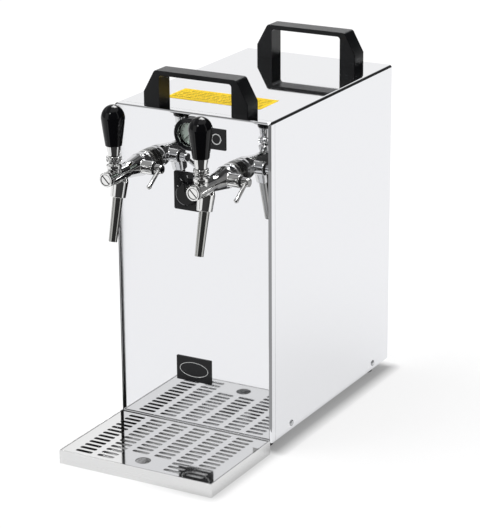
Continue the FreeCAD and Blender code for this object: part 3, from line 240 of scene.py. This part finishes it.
other = math_node(tree, "SUBTRACT", 1.0, math_node(tree, "MAXIMUM", glossy, plain))
strength = math_node(tree, "ADD", math_node(tree, "MULTIPLY", glossy, room), plain)
strength = math_node(tree, "ADD", strength, math_node(tree, "MULTIPLY", other, WORLD_LIGHT))
background = add_node(tree, "Background", Color=(1, 1, 1, 1))
link(tree, strength, background.inputs["Strength"])
link(tree, background.outputs[0], add_node(tree, "OutputWorld").inputs["Surface"])
bpy.context.scene.view_settings.view_transform = "Standard"

# %% [markdown]
# One wide, soft sun from the upper left throws a pale shadow to the right, and no reflection shows it.
# Dark cards beside the casing are seen only by reflections: photographers stand such cards next to
# chrome and polished sheet, so that its edges draw a dark line against a white room.

# %% Lamp and cards
SUN_ENERGY = 1.15
SUN_WIDTH = math.radians(42)
SUN_AIM = Vector((0.62, 0.35, -1.0))
STRIP_DEPTH = 0.0024
STRIP_OUT = 0.0008
STRIP_BACK = 0.01
STRIP_OVER = 0.004
BLACK = 0.008

sun = bpy.data.objects.new("sun", bpy.data.lights.new("sun", "SUN"))
bpy.context.scene.collection.objects.link(sun)
sun.data.energy = SUN_ENERGY
sun.data.angle = SUN_WIDTH
sun.visible_glossy = False
sun.rotation_euler = SUN_AIM.to_track_quat("-Z", "Y").to_euler()


def stand_card(name, corners, shade):
    """A flat card through its corners that only reflections see."""
    mesh = bpy.data.meshes.new(name)
    mesh.from_pydata(corners, [], [list(range(len(corners)))])
    card = bpy.data.objects.new(name, mesh)
    bpy.context.scene.collection.objects.link(card)
    material, tree = new_material(name)
    paint = add_node(tree, "Emission", Color=(shade, shade, shade, 1))
    link(tree, paint.outputs[0], add_node(tree, "OutputMaterial").inputs["Surface"])
    mesh.materials.append(material)
    for ray in ("camera", "diffuse", "shadow", "transmission", "volume_scatter"):
        setattr(card, "visible_" + ray, False)
    return card


def stand_wall(name, plan, foot, head, shade):
    """Upright cards along a plan of (x, y) points, one card from each point to the next."""
    for number, (a, b) in enumerate(zip(plan, plan[1:])):
        stand_card("%s_%d" % (name, number), [(*a, foot), (*b, foot), (*b, head), (*a, head)], shade)


low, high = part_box("front_panel")
left = low.x - STRIP_OUT
strip_plan = [(left, low.y - STRIP_DEPTH), (left, low.y + STRIP_BACK)]
stand_wall("left_card", strip_plan, 0.0, high.z + STRIP_OVER, BLACK)
RIGHT_IN, RIGHT_OUT = 0.0125, 0.0225
RIGHT_AHEAD, RIGHT_BACK = 0.026, 0.039
RIGHT_FOOT, RIGHT_STEP, RIGHT_RISE_OVER = 0.0195, 0.37, 0.01
LOWER_GREY, UPPER_GREY = 0.35, 0.2
plan = [(high.x - RIGHT_IN, low.y - RIGHT_AHEAD), (high.x + RIGHT_OUT, low.y - RIGHT_AHEAD),
        (high.x + RIGHT_OUT, low.y + RIGHT_BACK)]
stand_wall("right_card", plan, RIGHT_FOOT, RIGHT_STEP, LOWER_GREY)
stand_wall("right_card_high", plan, RIGHT_STEP, high.z + RIGHT_RISE_OVER, UPPER_GREY)

# %% [markdown]
# The dark line down the panel's left edge is the floor's image in it. A mirror's image is seen from the
# camera's own mirror image, so the line through that point and a place on the edge gives the card's
# corners on the floor.

# %% Floor cards
CARD_LIFT = 0.001
STRIP_WIDTH = 0.0074
SLIVER_WIDTH = 0.03
FRONT_GREY = 0.04
FRONT_PLAN = [(0.16, -0.2), (0.16, -0.42), (-0.06, -0.46), (-1.95, -4.0), (-1.0, -13.0), (13.0, -13.0),
              (13.0, -0.2)]
mirrored = (camera.location.x, 2 * low.y - camera.location.y, camera.location.z)


def floor_image(x, z):
    """Where on the floor the panel's point (x, z) looks: the line from the mirrored camera, carried down."""
    reach = mirrored[2] / (mirrored[2] - z)
    return (mirrored[0] + reach * (x - mirrored[0]), mirrored[1] + reach * (low.y - mirrored[1]), CARD_LIFT)


inner, outer = low.x + STRIP_WIDTH, low.x - SLIVER_WIDTH
sliver = [floor_image(inner, 0.0), floor_image(outer, 0.0),
          floor_image(outer, high.z), floor_image(inner, high.z)]
stand_card("left_sliver", sliver, BLACK)
stand_card("low_card", [(x, y, CARD_LIFT) for x, y in FRONT_PLAN], FRONT_GREY)
print("cards stand beside", round(low.x, 4), "and", round(high.x, 4))

# %% [markdown]
# Each finish is a Principled shader with its own plain values, and the uneven part comes from a few
# shared node groups: fine wear that changes the gloss, the straight hairlines of brushed steel, and
# the grain of moulded plastic.

# %% Shared effects
def new_group(name, inputs, outputs):
    """An empty shader node group with named float inputs (with defaults) and outputs."""
    group = bpy.data.node_groups.new(name, "ShaderNodeTree")
    for label, value in inputs.items():
        socket = group.interface.new_socket(label, in_out="INPUT", socket_type="NodeSocketFloat")
        socket.default_value = value
    for label in outputs:
        group.interface.new_socket(label, in_out="OUTPUT", socket_type="NodeSocketFloat")
    return group, group.nodes.new("NodeGroupInput"), group.nodes.new("NodeGroupOutput")


def noise(tree, vector, scale, detail=3.0):
    """A noise texture on a vector. Scale is a number or a socket."""
    node = add_node(tree, "TexNoise", Detail=detail, Roughness=0.55)
    link(tree, vector, node.inputs["Vector"])
    if isinstance(scale, (int, float)):
        node.inputs["Scale"].default_value = scale
    else:
        link(tree, scale, node.inputs["Scale"])
    return node.outputs["Fac"]


def object_place(tree, stretch=(1, 1, 1)):
    """Object coordinates in metres, stretched along the three axes."""
    mapping = add_node(tree, "Mapping", Scale=stretch)
    link(tree, add_node(tree, "TexCoord").outputs["Object"], mapping.inputs["Vector"])
    return mapping.outputs[0]


GLOSS_OUT = ["Roughness", "Height"]
wear, start, end = new_group("fine_wear", {"Base": 0.1, "Spread": 0.05, "Scale": 60.0}, GLOSS_OUT)
cloud = noise(wear, object_place(wear), start.outputs["Scale"])
speck = noise(wear, object_place(wear), math_node(wear, "MULTIPLY", start.outputs["Scale"], 9.0), 2.0)
mixed = math_node(wear, "ADD", math_node(wear, "MULTIPLY", cloud, 0.75),
                  math_node(wear, "MULTIPLY", speck, 0.25))
centred = math_node(wear, "SUBTRACT", mixed, 0.5)
spread = math_node(wear, "MULTIPLY", centred, start.outputs["Spread"])
link(wear, math_node(wear, "ADD", spread, start.outputs["Base"], clamp=True), end.inputs["Roughness"])
link(wear, cloud, end.inputs["Height"])

hairline, start, end = new_group("hairlines", {"Base": 0.25, "Spread": 0.2, "Scale": 1.0}, GLOSS_OUT)
streak = noise(hairline, object_place(hairline, (12, 900, 900)), start.outputs["Scale"], 4.0)
centred = math_node(hairline, "SUBTRACT", streak, 0.5)
spread = math_node(hairline, "MULTIPLY", centred, start.outputs["Spread"])
link(hairline, math_node(hairline, "ADD", spread, start.outputs["Base"], clamp=True), end.inputs["Roughness"])
link(hairline, streak, end.inputs["Height"])

grain, start, end = new_group("moulded_grain", {"Base": 0.4, "Spread": 0.15, "Scale": 900.0}, GLOSS_OUT)
pebble = noise(grain, object_place(grain), start.outputs["Scale"], 2.0)
sheen = noise(grain, object_place(grain), 35.0, 2.0)
spread = math_node(grain, "MULTIPLY", math_node(grain, "SUBTRACT", sheen, 0.5), start.outputs["Spread"])
link(grain, math_node(grain, "ADD", spread, start.outputs["Base"], clamp=True), end.inputs["Roughness"])
link(grain, pebble, end.inputs["Height"])


# %% Finishes
def finish(name, colour, group, metallic=0.0, bump=0.0, group_values=None, **sockets):
    """A Principled material whose roughness and bump come from a shared effect."""
    material, tree = new_material(name)
    shader = add_node(tree, "BsdfPrincipled", Metallic=metallic, **sockets)
    shader.inputs["Base Color"].default_value = (*colour, 1)
    effect = tree.nodes.new("ShaderNodeGroup")
    effect.node_tree = group
    for key, value in (group_values or {}).items():
        effect.inputs[key].default_value = value
    link(tree, effect.outputs["Roughness"], shader.inputs["Roughness"])
    if bump:
        bumps = add_node(tree, "Bump", Strength=1.0, Distance=bump)
        link(tree, effect.outputs["Height"], bumps.inputs["Height"])
        link(tree, bumps.outputs[0], shader.inputs["Normal"])
    link(tree, shader.outputs[0], add_node(tree, "OutputMaterial").inputs["Surface"])
    return material


def place_metal(name, colour, base, spread, scale, bump=0.0):
    """A bare metal whose polish varies a little over the surface."""
    return finish(name, colour, wear, 1.0, bump, {"Base": base, "Spread": spread, "Scale": scale})


mirror_sheet = place_metal("mirror_sheet", (0.805, 0.81, 0.83), 0.035, 0.03, 7.0, 0.00002)
grille_sheet = place_metal("grille_sheet", (0.8, 0.8, 0.8), 0.06, 0.05, 12.0, 0.000012)
zinc_sheet = place_metal("zinc_sheet", (0.55, 0.56, 0.57), 0.35, 0.2, 40.0, 0.00001)
chrome = place_metal("chrome", (0.78, 0.78, 0.775), 0.05, 0.04, 90.0)
satin_steel = place_metal("satin_steel", (0.42, 0.42, 0.405), 0.13, 0.06, 120.0, 0.000003)
brass = place_metal("brass", (0.75, 0.55, 0.25), 0.25, 0.15, 90.0)
aluminium = place_metal("aluminium", (0.7, 0.71, 0.72), 0.4, 0.2, 60.0, 0.00001)
copper = place_metal("copper", (0.8, 0.42, 0.27), 0.25, 0.2, 60.0)
brushed_sheet = finish("brushed_sheet", (0.72, 0.72, 0.72), hairline, 1.0, 0.000006,
                       {"Base": 0.24, "Spread": 0.25})


def print_ink(name, colour):
    """A thin, nearly matt ink."""
    return finish(name, colour, wear, 0.0, 0.0, {"Base": 0.5, "Spread": 0.1, "Scale": 60.0})


print_white = print_ink("print_white", (0.82, 0.83, 0.83))
print_black = print_ink("print_black", (0.02, 0.02, 0.02))
pale_dial = print_ink("pale_dial", (0.5, 0.57, 0.52))


def moulding(name, colour, base, spread, scale, depth, gloss=0.5):
    """A moulded or painted piece with a fine grain. Gloss is the strength of its plain reflection."""
    return finish(name, colour, grain, 0.0, depth, {"Base": base, "Spread": spread, "Scale": scale},
                  **{"Specular IOR Level": gloss})


black_moulding = moulding("black_moulding", (0.006, 0.0065, 0.0075), 0.34, 0.15, 900.0, 0.00004, 0.22)
rubber = moulding("rubber", (0.015, 0.015, 0.016), 0.7, 0.2, 600.0, 0.00006)
foam = moulding("foam", (0.75, 0.72, 0.62), 0.9, 0.1, 300.0, 0.0003)
black_paint = moulding("black_paint", (0.02, 0.02, 0.02), 0.3, 0.2, 900.0, 0.00002)
grey_paint = moulding("grey_paint", (0.18, 0.19, 0.21), 0.45, 0.2, 900.0, 0.00004)
grey_moulding = moulding("grey_moulding", (0.42, 0.43, 0.44), 0.42, 0.15, 900.0, 0.00004)

knob_gloss = finish("knob_gloss", (0.004, 0.004, 0.005), wear, 0.0, 0.0,
                    {"Base": 0.05, "Spread": 0.04, "Scale": 80.0}, **{"Specular IOR Level": 0.24})
black_gloss = finish("black_gloss", (0.006, 0.0065, 0.008), wear, 0.0, 0.0,
                     {"Base": 0.14, "Spread": 0.1, "Scale": 50.0}, **{"Specular IOR Level": 0.25})
clear_lens = finish("clear_lens", (0.95, 0.97, 0.96), wear, 0.0, 0.0, {"Base": 0.02, "Spread": 0.02},
                    **{"Transmission Weight": 1.0, "IOR": 1.3})

# %% [markdown]
# The yellow label on the top carries rows of small printed marks inside a plain margin. They are drawn
# by a node group: the rows come from the fraction of the depth, and the marks in each row from a noise
# that runs along it. The mask only mixes two colours, so the label stays one smooth foil.

# %% Printed rows
ROW_HALF = 0.27
ROW_STEP = 7.31
row_inputs = {"Pitch": 160.0, "Dash": 420.0, "Fill": 0.5, "Margin": 0.004}
rows, start, end = new_group("printed_rows", row_inputs, ["Mask"])
spot = add_node(rows, "SeparateXYZ")
link(rows, object_place(rows), spot.inputs[0])
line = math_node(rows, "MULTIPLY", spot.outputs["Y"], start.outputs["Pitch"])
height = math_node(rows, "FRACT", line)
from_middle = math_node(rows, "ABSOLUTE", math_node(rows, "SUBTRACT", height, 0.5))
band = math_node(rows, "LESS_THAN", from_middle, ROW_HALF)
along = add_node(rows, "CombineXYZ")
link(rows, math_node(rows, "MULTIPLY", spot.outputs["X"], start.outputs["Dash"]), along.inputs["X"])
link(rows, math_node(rows, "MULTIPLY", math_node(rows, "FLOOR", line), ROW_STEP), along.inputs["Y"])
inked = math_node(rows, "GREATER_THAN", noise(rows, along.outputs[0], 1.0, 1.0), start.outputs["Fill"])
inked = math_node(rows, "MULTIPLY", band, inked)
low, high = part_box("top_label")
for axis, a, b in (("X", low.x, high.x), ("Y", low.y, high.y)):
    off = math_node(rows, "ABSOLUTE", math_node(rows, "SUBTRACT", spot.outputs[axis], (a + b) / 2))
    room_left = math_node(rows, "SUBTRACT", (b - a) / 2, off)
    within = math_node(rows, "GREATER_THAN", room_left, start.outputs["Margin"])
    inked = math_node(rows, "MULTIPLY", inked, within)
link(rows, inked, end.inputs["Mask"])


def two_colours(tree, shader, mask, plain, marked):
    """The shader's base colour: plain where the mask is 0, marked where it is 1."""
    blend = add_node(tree, "Mix", data_type="RGBA")
    colour_a, colour_b = [socket for socket in blend.inputs if socket.type == "RGBA"]
    colour_a.default_value = (*plain, 1)
    colour_b.default_value = (*marked, 1)
    link(tree, mask, blend.inputs["Factor"])
    result = [socket for socket in blend.outputs if socket.type == "RGBA"][0]
    link(tree, result, shader.inputs["Base Color"])


def printed_foil(name, paper, ink, **values):
    """A foil whose colour changes from paper to ink where the printed rows are."""
    material = finish(name, paper, wear, 0.0, 0.0, {"Base": 0.62, "Spread": 0.1, "Scale": 30.0},
                      **{"Specular IOR Level": 0.06})
    tree = material.node_tree
    shader = [node for node in tree.nodes if node.type == "BSDF_PRINCIPLED"][0]
    effect = tree.nodes.new("ShaderNodeGroup")
    effect.node_tree = rows
    for key, value in values.items():
        effect.inputs[key].default_value = value
    two_colours(tree, shader, effect.outputs["Mask"], paper, ink)
    return material


label_yellow = printed_foil("label_yellow", (1.0, 0.7, 0.03), (0.42, 0.28, 0.012),
                            Pitch=140.0, Dash=900.0, Fill=0.44)

# %% [markdown]
# The rubber between a tap and the casing is pressed between bright rings. The bands go round the tap's
# own axis, so they only depend on the depth: the fraction of a multiple of Y is cut into dark ribs and
# bright gaps. The mask drives the colour and the metal share together.

# %% Ribbed seat
ribs, start, end = new_group("ribbed_seat", {"Pitch": 330.0, "Share": 0.5}, ["Mask"])
spot = add_node(ribs, "SeparateXYZ")
link(ribs, object_place(ribs), spot.inputs[0])
turns = math_node(ribs, "FRACT", math_node(ribs, "MULTIPLY", spot.outputs["Y"], start.outputs["Pitch"]))
link(ribs, math_node(ribs, "LESS_THAN", turns, start.outputs["Share"]), end.inputs["Mask"])


def ribbed_rings(name, bright, dark, share):
    """Bright metal with matt dark ribs, where the ribs take up a share of each turn."""
    material, tree = new_material(name)
    shader = add_node(tree, "BsdfPrincipled", Roughness=0.16)
    effect = tree.nodes.new("ShaderNodeGroup")
    effect.node_tree = ribs
    effect.inputs["Share"].default_value = share
    two_colours(tree, shader, effect.outputs["Mask"], bright, dark)
    link(tree, math_node(tree, "SUBTRACT", 1.0, effect.outputs["Mask"]), shader.inputs["Metallic"])
    link(tree, shader.outputs[0], add_node(tree, "OutputMaterial").inputs["Surface"])
    return material


ribbed_gasket = ribbed_rings("ribbed_gasket", (0.62, 0.62, 0.58), (0.012, 0.012, 0.012), 0.42)

# %% Dress the nodes
FINISH_OF_SLOT = {
    "case_steel": mirror_sheet, "pan_steel": zinc_sheet, "tray_steel": brushed_sheet,
    "grille_steel": grille_sheet,
    "tap_chrome": chrome, "tap_steel": satin_steel, "screw_steel": zinc_sheet, "knob_black": knob_gloss,
    "black_plastic": black_moulding, "black_rubber": rubber, "label_foil": label_yellow,
    "badge_black": black_gloss,
    "plate_steel": black_gloss, "dial_face": pale_dial, "needle_black": print_black, "lens_clear": clear_lens,
    "brass_plain": brass, "core_aluminium": aluminium, "copper_tube": copper, "coil_steel": zinc_sheet,
    "foam": foam, "compressor_paint": black_paint, "frame_zinc": zinc_sheet, "fan_plastic": black_moulding,
    "pump_paint": grey_paint, "fitting_grey": grey_moulding, "rocker_black": black_gloss,
}
slot_of = {row["node"]: row["material_slot"] for row in frame["record"]["subparts"]}
for name, node in frame["nodes"].items():
    node.data.materials.clear()
    node.data.materials.append(FINISH_OF_SLOT[slot_of[name]])
print(len(frame["nodes"]), "nodes dressed")

# %% [markdown]
# Chrome shows every facet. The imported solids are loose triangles, each shaded flat, so the round ones
# get a smooth twin: the same points, merged, with smooth shading that still breaks at real edges.

# %% Smooth twins
BODY_OF = {node: body for body, nodes in frame["record"]["behaviour"]["bodies"].items() for node in nodes}


def settle(piece, nodes, material):
    """Gives a finished piece its material and its body, in the place of one or more nodes."""
    piece.data.materials.clear()
    piece.data.materials.append(material)
    bpy.context.scene.collection.objects.link(piece)
    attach(piece, BODY_OF[nodes[0]])
    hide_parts(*nodes)
    return piece


def merged_mesh(name, node):
    """A node's triangles on shared points: equal points, to a micrometre, become one."""
    source = frame["nodes"][node].data
    points = np.empty(len(source.vertices) * 3)
    source.vertices.foreach_get("co", points)
    corners = np.empty(len(source.loops), dtype=np.int64)
    source.loops.foreach_get("vertex_index", corners)
    shared, back = np.unique(np.round(points.reshape(-1, 3), 6), axis=0, return_inverse=True)
    triangles = back.reshape(-1)[corners].reshape(-1, 3)
    a, b, c = triangles.T
    real = (a != b) & (b != c) & (a != c)
    mesh = bpy.data.meshes.new(name)
    mesh.from_pydata(shared.tolist(), [], triangles[real].tolist())
    return mesh


def smooth(mesh, angle=180):
    """Smooth shading that breaks where two faces meet at more than an angle."""
    mesh.polygons.foreach_set("use_smooth", np.ones(len(mesh.polygons), dtype=bool))
    if angle < 180:
        mesh.set_sharp_from_angle(angle=math.radians(angle))


EDGE_ANGLE = 32
TWINS = ["nose_caps", "tap_gaskets", "bonnet_nuts", "lever_seals", "gauge_case", "gauge_dial",
         "thermostat_knob", "front_handle", "rear_handle", "feet", "cover_screws", "rear_screws",
         "handle_screws", "beer_inlets", "air_outlet", "cord_gland"]
TWINS += [side + part for side in ("left_", "right_")
          for part in ("spout", "lever", "handle_stem", "ferrule")]
OWN_FINISH = {"tap_gaskets": ribbed_gasket}
for node in TWINS:
    mesh = merged_mesh(node + "_smooth", node)
    smooth(mesh, EDGE_ANGLE)
    material = OWN_FINISH.get(node, FINISH_OF_SLOT[slot_of[node]])
    settle(bpy.data.objects.new(node + "_smooth", mesh), [node], material)
print(len(TWINS), "smooth twins")

# %% [markdown]
# A tap body is a casting that was ground and polished before it was plated, so its forms run into each
# other with no sharp inside corner. The twin of the solid is turned into small even cells and then
# relaxed a few times, which rounds the inside corners by about a millimetre and leaves the size alone.

# %% Cast tap bodies
CELL = 0.0005
RELAX_ROUNDS = 14


def cast_copy(node):
    """The node's form in even cells, each point moved towards its neighbours a few times."""
    piece = bpy.data.objects.new(node + "_cast", merged_mesh(node + "_cast", node))
    bpy.context.scene.collection.objects.link(piece)
    cells = piece.modifiers.new("cells", "REMESH")
    cells.mode = "VOXEL"
    cells.voxel_size = CELL
    relax = piece.modifiers.new("relax", "SMOOTH")
    relax.factor = 0.5
    relax.iterations = RELAX_ROUNDS
    ready = piece.evaluated_get(bpy.context.evaluated_depsgraph_get())
    mesh = bpy.data.meshes.new_from_object(ready)
    piece.modifiers.clear()
    piece.data = mesh
    bpy.context.scene.collection.objects.unlink(piece)
    smooth(mesh)
    return piece


for side in ("left", "right"):
    piece = settle(cast_copy(side + "_tap_body"), [side + "_tap_body"], chrome)
    print(piece.name, len(piece.data.polygons), "faces")

# %% [markdown]
# The grips and the collars under them are turned pieces. A turned surface is a profile of radii and
# heights, carried round an axis. The collar's radius also falls a little at each of its notches.

# %% Turned pieces
def grid_mesh(name, points):
    """Faces between the rows of a (rows, around, 3) grid of points, closed around and at both ends."""
    count, around = points.shape[:2]
    index = np.arange(count * around).reshape(count, around)
    a, b = index[:-1], index[1:]
    quads = np.stack([a, np.roll(a, -1, 1), np.roll(b, -1, 1), b], -1).reshape(-1, 4)
    mesh = bpy.data.meshes.new(name)
    mesh.from_pydata(points.reshape(-1, 3).tolist(), [],
                     quads.tolist() + [index[0][::-1].tolist(), index[-1].tolist()])
    return mesh


def turned_mesh(name, profile, centre, around=96, dent=None):
    """Points at (r cos t, r sin t, h) round an upright axis, with r less by dent(t, h)."""
    turn = np.linspace(0, 2 * np.pi, around, endpoint=False)
    radius = np.repeat(profile[:, :1], around, 1)
    rise = np.repeat(profile[:, 1:], around, 1)
    if dent is not None:
        radius = radius - dent(turn[None, :], rise)
    across, deep = radius * np.cos(turn), radius * np.sin(turn)
    return grid_mesh(name, np.stack([centre[0] + across, centre[1] + deep, centre[2] + rise], -1))


FOOT_SHARE = 0.7
DOME_SHARE = 0.33
FOOT_ROUND = 0.0012
BELLY = 0.12


def grip_profile(radius, height):
    """A rounded foot, a slow taper up to the full radius, and an egg-shaped dome, as (radius, height)."""
    foot = radius * FOOT_SHARE
    round_foot = np.linspace(0, np.pi / 2, 8)
    edge = FOOT_ROUND
    base = np.stack([foot - edge + edge * np.sin(round_foot), edge - edge * np.cos(round_foot)], 1)
    rise = np.linspace(0, 1, 40)[1:-1]
    shoulder = height * (1 - DOME_SHARE)
    swell = foot + (radius - foot) * ((1 + BELLY) * rise - BELLY * rise ** 2)
    wall = np.stack([swell, edge + (shoulder - edge) * rise], 1)
    turn = np.linspace(0, np.pi / 2, 28)[:-1]
    dome = np.stack([radius * np.cos(turn), shoulder + (height - shoulder) * np.sin(turn)], 1)
    tip = np.array([[radius * 0.004, height]])
    return np.concatenate([base, wall, dome, tip])


for side in ("left", "right"):
    low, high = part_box(side + "_knob")
    centre = ((low.x + high.x) / 2, (low.y + high.y) / 2, low.z)
    mesh = turned_mesh(side + "_grip", grip_profile((high.x - low.x) / 2, high.z - low.z), centre)
    smooth(mesh, 60)
    settle(bpy.data.objects.new(side + "_grip", mesh), [side + "_knob"], knob_gloss)
    print(side, "grip", round(high.z - low.z, 4), "m high")

# %% Notched collars
NOTCHES = 16
NOTCH_DEPTH = 0.0016
COLLAR_GROOVE = 0.0012
COLLAR_SHARE = 0.97
COLLAR_BORE = 0.0026


def notch_dent(rows, size):
    """Two rows of oval dents: full depth in the middle of each, none outside its oval."""
    def dent(turn, rise):
        pitch = 2 * np.pi / NOTCHES
        depth = np.zeros(np.broadcast(turn, rise).shape)
        for number, middle in enumerate(rows):
            away = (turn + number * pitch / 2 + pitch / 2) % pitch - pitch / 2
            reach = 1 - (away / (0.3 * pitch)) ** 2 - ((rise - middle) / size) ** 2
            depth = np.maximum(depth, NOTCH_DEPTH * np.sqrt(np.clip(reach, 0, 1)))
        return depth
    return dent


for side in ("left", "right"):
    low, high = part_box(side + "_lock_nut")
    tall = high.z - low.z
    full = (high.x - low.x) / 2 * COLLAR_SHARE
    bore = COLLAR_BORE
    steps = np.linspace(0, 1, 49)
    body = full - COLLAR_GROOVE * np.exp(-((steps - 0.5) / 0.06) ** 2) - 0.0006 * np.abs(2 * steps - 1) ** 12
    profile = np.concatenate([[[bore, 0]], np.stack([body, steps * tall], 1), [[bore, tall]]])
    centre = ((low.x + high.x) / 2, (low.y + high.y) / 2, low.z)
    dent = notch_dent((0.25 * tall, 0.75 * tall), 0.17 * tall)
    mesh = turned_mesh(side + "_collar", profile, centre, 16 * NOTCHES, dent)
    smooth(mesh, 50)
    settle(bpy.data.objects.new(side + "_collar", mesh), [side + "_lock_nut"], chrome)
print("collars with", NOTCHES, "notches in a row")

# %% [markdown]
# The dial, the thermostat plate and the front plates carry plain printed marks. Each mark is a thin
# closed slab that stands a little proud of its plate, so it shows from every side and in the export.

# %% Printed marks
INK = 0.00008
CAP_LINE_RADIUS = 0.0072


def slab_marks(name, outlines, front, material):
    """Flat outlines (each a list of corners in x and z) as slabs of ink on a plate at y = front."""
    points, faces = [], []
    for outline in outlines:
        count = len(outline)
        base = len(points)
        for y in (front - INK, front):
            points += [(x, y, z) for x, z in outline]
        faces.append(list(range(base, base + count)))
        faces.append(list(range(base + 2 * count - 1, base + count - 1, -1)))
        faces += [[base + (i + 1) % count, base + i, base + count + i, base + count + (i + 1) % count]
                  for i in range(count)]
    mesh = bpy.data.meshes.new(name)
    mesh.from_pydata(points, [], faces)
    work = bmesh.new()
    work.from_mesh(mesh)
    bmesh.ops.recalc_face_normals(work, faces=work.faces)
    work.to_mesh(mesh)
    work.free()
    piece = bpy.data.objects.new(name, mesh)
    mesh.materials.append(material)
    bpy.context.scene.collection.objects.link(piece)
    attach(piece, "cooler")
    return piece


def tick(centre, angle, inner, outer, width):
    """A bar between two radii, angle degrees clockwise from the top."""
    turn = math.radians(angle)
    out = np.array([math.sin(turn), math.cos(turn)])
    side = np.array([out[1], -out[0]]) * width / 2
    middle = np.array(centre)
    return [tuple(middle + out * r + side * s) for r, s in ((inner, -1), (outer, -1), (outer, 1), (inner, 1))]


def ring_parts(centre, across, tall, width, steps=72):
    """An oval line cut into short bars that share their ends: points (a sin t, b cos t) at two sizes."""
    turn = np.linspace(0, 2 * math.pi, steps + 1)
    outer = np.stack([centre[0] + across * np.sin(turn), centre[1] + tall * np.cos(turn)], 1)
    half_across, half_tall = across - width, tall - width
    inner = np.stack([centre[0] + half_across * np.sin(turn), centre[1] + half_tall * np.cos(turn)], 1)
    return [[tuple(p) for p in (inner[i], outer[i], outer[i + 1], inner[i + 1])] for i in range(steps)]


def middle_of(node):
    """A node's middle in x and z, its front y, and its half width and half height."""
    low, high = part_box(node)
    return ((low.x + high.x) / 2, (low.z + high.z) / 2), low.y, (high.x - low.x) / 2, (high.z - low.z) / 2


centre, front, radius, _ = middle_of("gauge_dial")
marks = [tick(centre, angle, radius * 0.74, radius * 0.92, 0.0008) for angle in range(-135, 136, 27)]
marks += [tick(centre, angle, radius * 0.84, radius * 0.92, 0.0004) for angle in np.arange(-135, 135.1, 5.4)]
marks += ring_parts(centre, radius * 0.94, radius * 0.94, 0.0004)
slab_marks("dial_scale", marks, front, print_black)

centre, front, half, _ = middle_of("thermostat_plate")
marks = [tick(centre, angle, half * 0.74, half * (0.84 + 0.06 * (angle + 135) / 270), 0.0010)
         for angle in range(-135, 136, 30)]
slab_marks("thermostat_scale", marks, front, print_white)

centre, front, wide, tall = middle_of("badge_plate")
oval = ring_parts(centre, wide * 0.82, tall * 0.6, 0.0007, 96)
slab_marks("badge_line", oval, front, print_white)
centre, front, wide, tall = middle_of("ring_plate")
ring = ring_parts(centre, wide * 0.52, wide * 0.52, 0.0013)
slab_marks("ring_line", ring, front, print_white)
low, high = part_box("nose_caps")
lines = []
for side in ("left", "right"):
    (x, _), _, _, _ = middle_of(side + "_knob")
    lines += ring_parts((x, (low.z + high.z) / 2), CAP_LINE_RADIUS, CAP_LINE_RADIUS, 0.0006)
slab_marks("cap_line", lines, low.y + INK / 2, print_black)
print("marks printed")
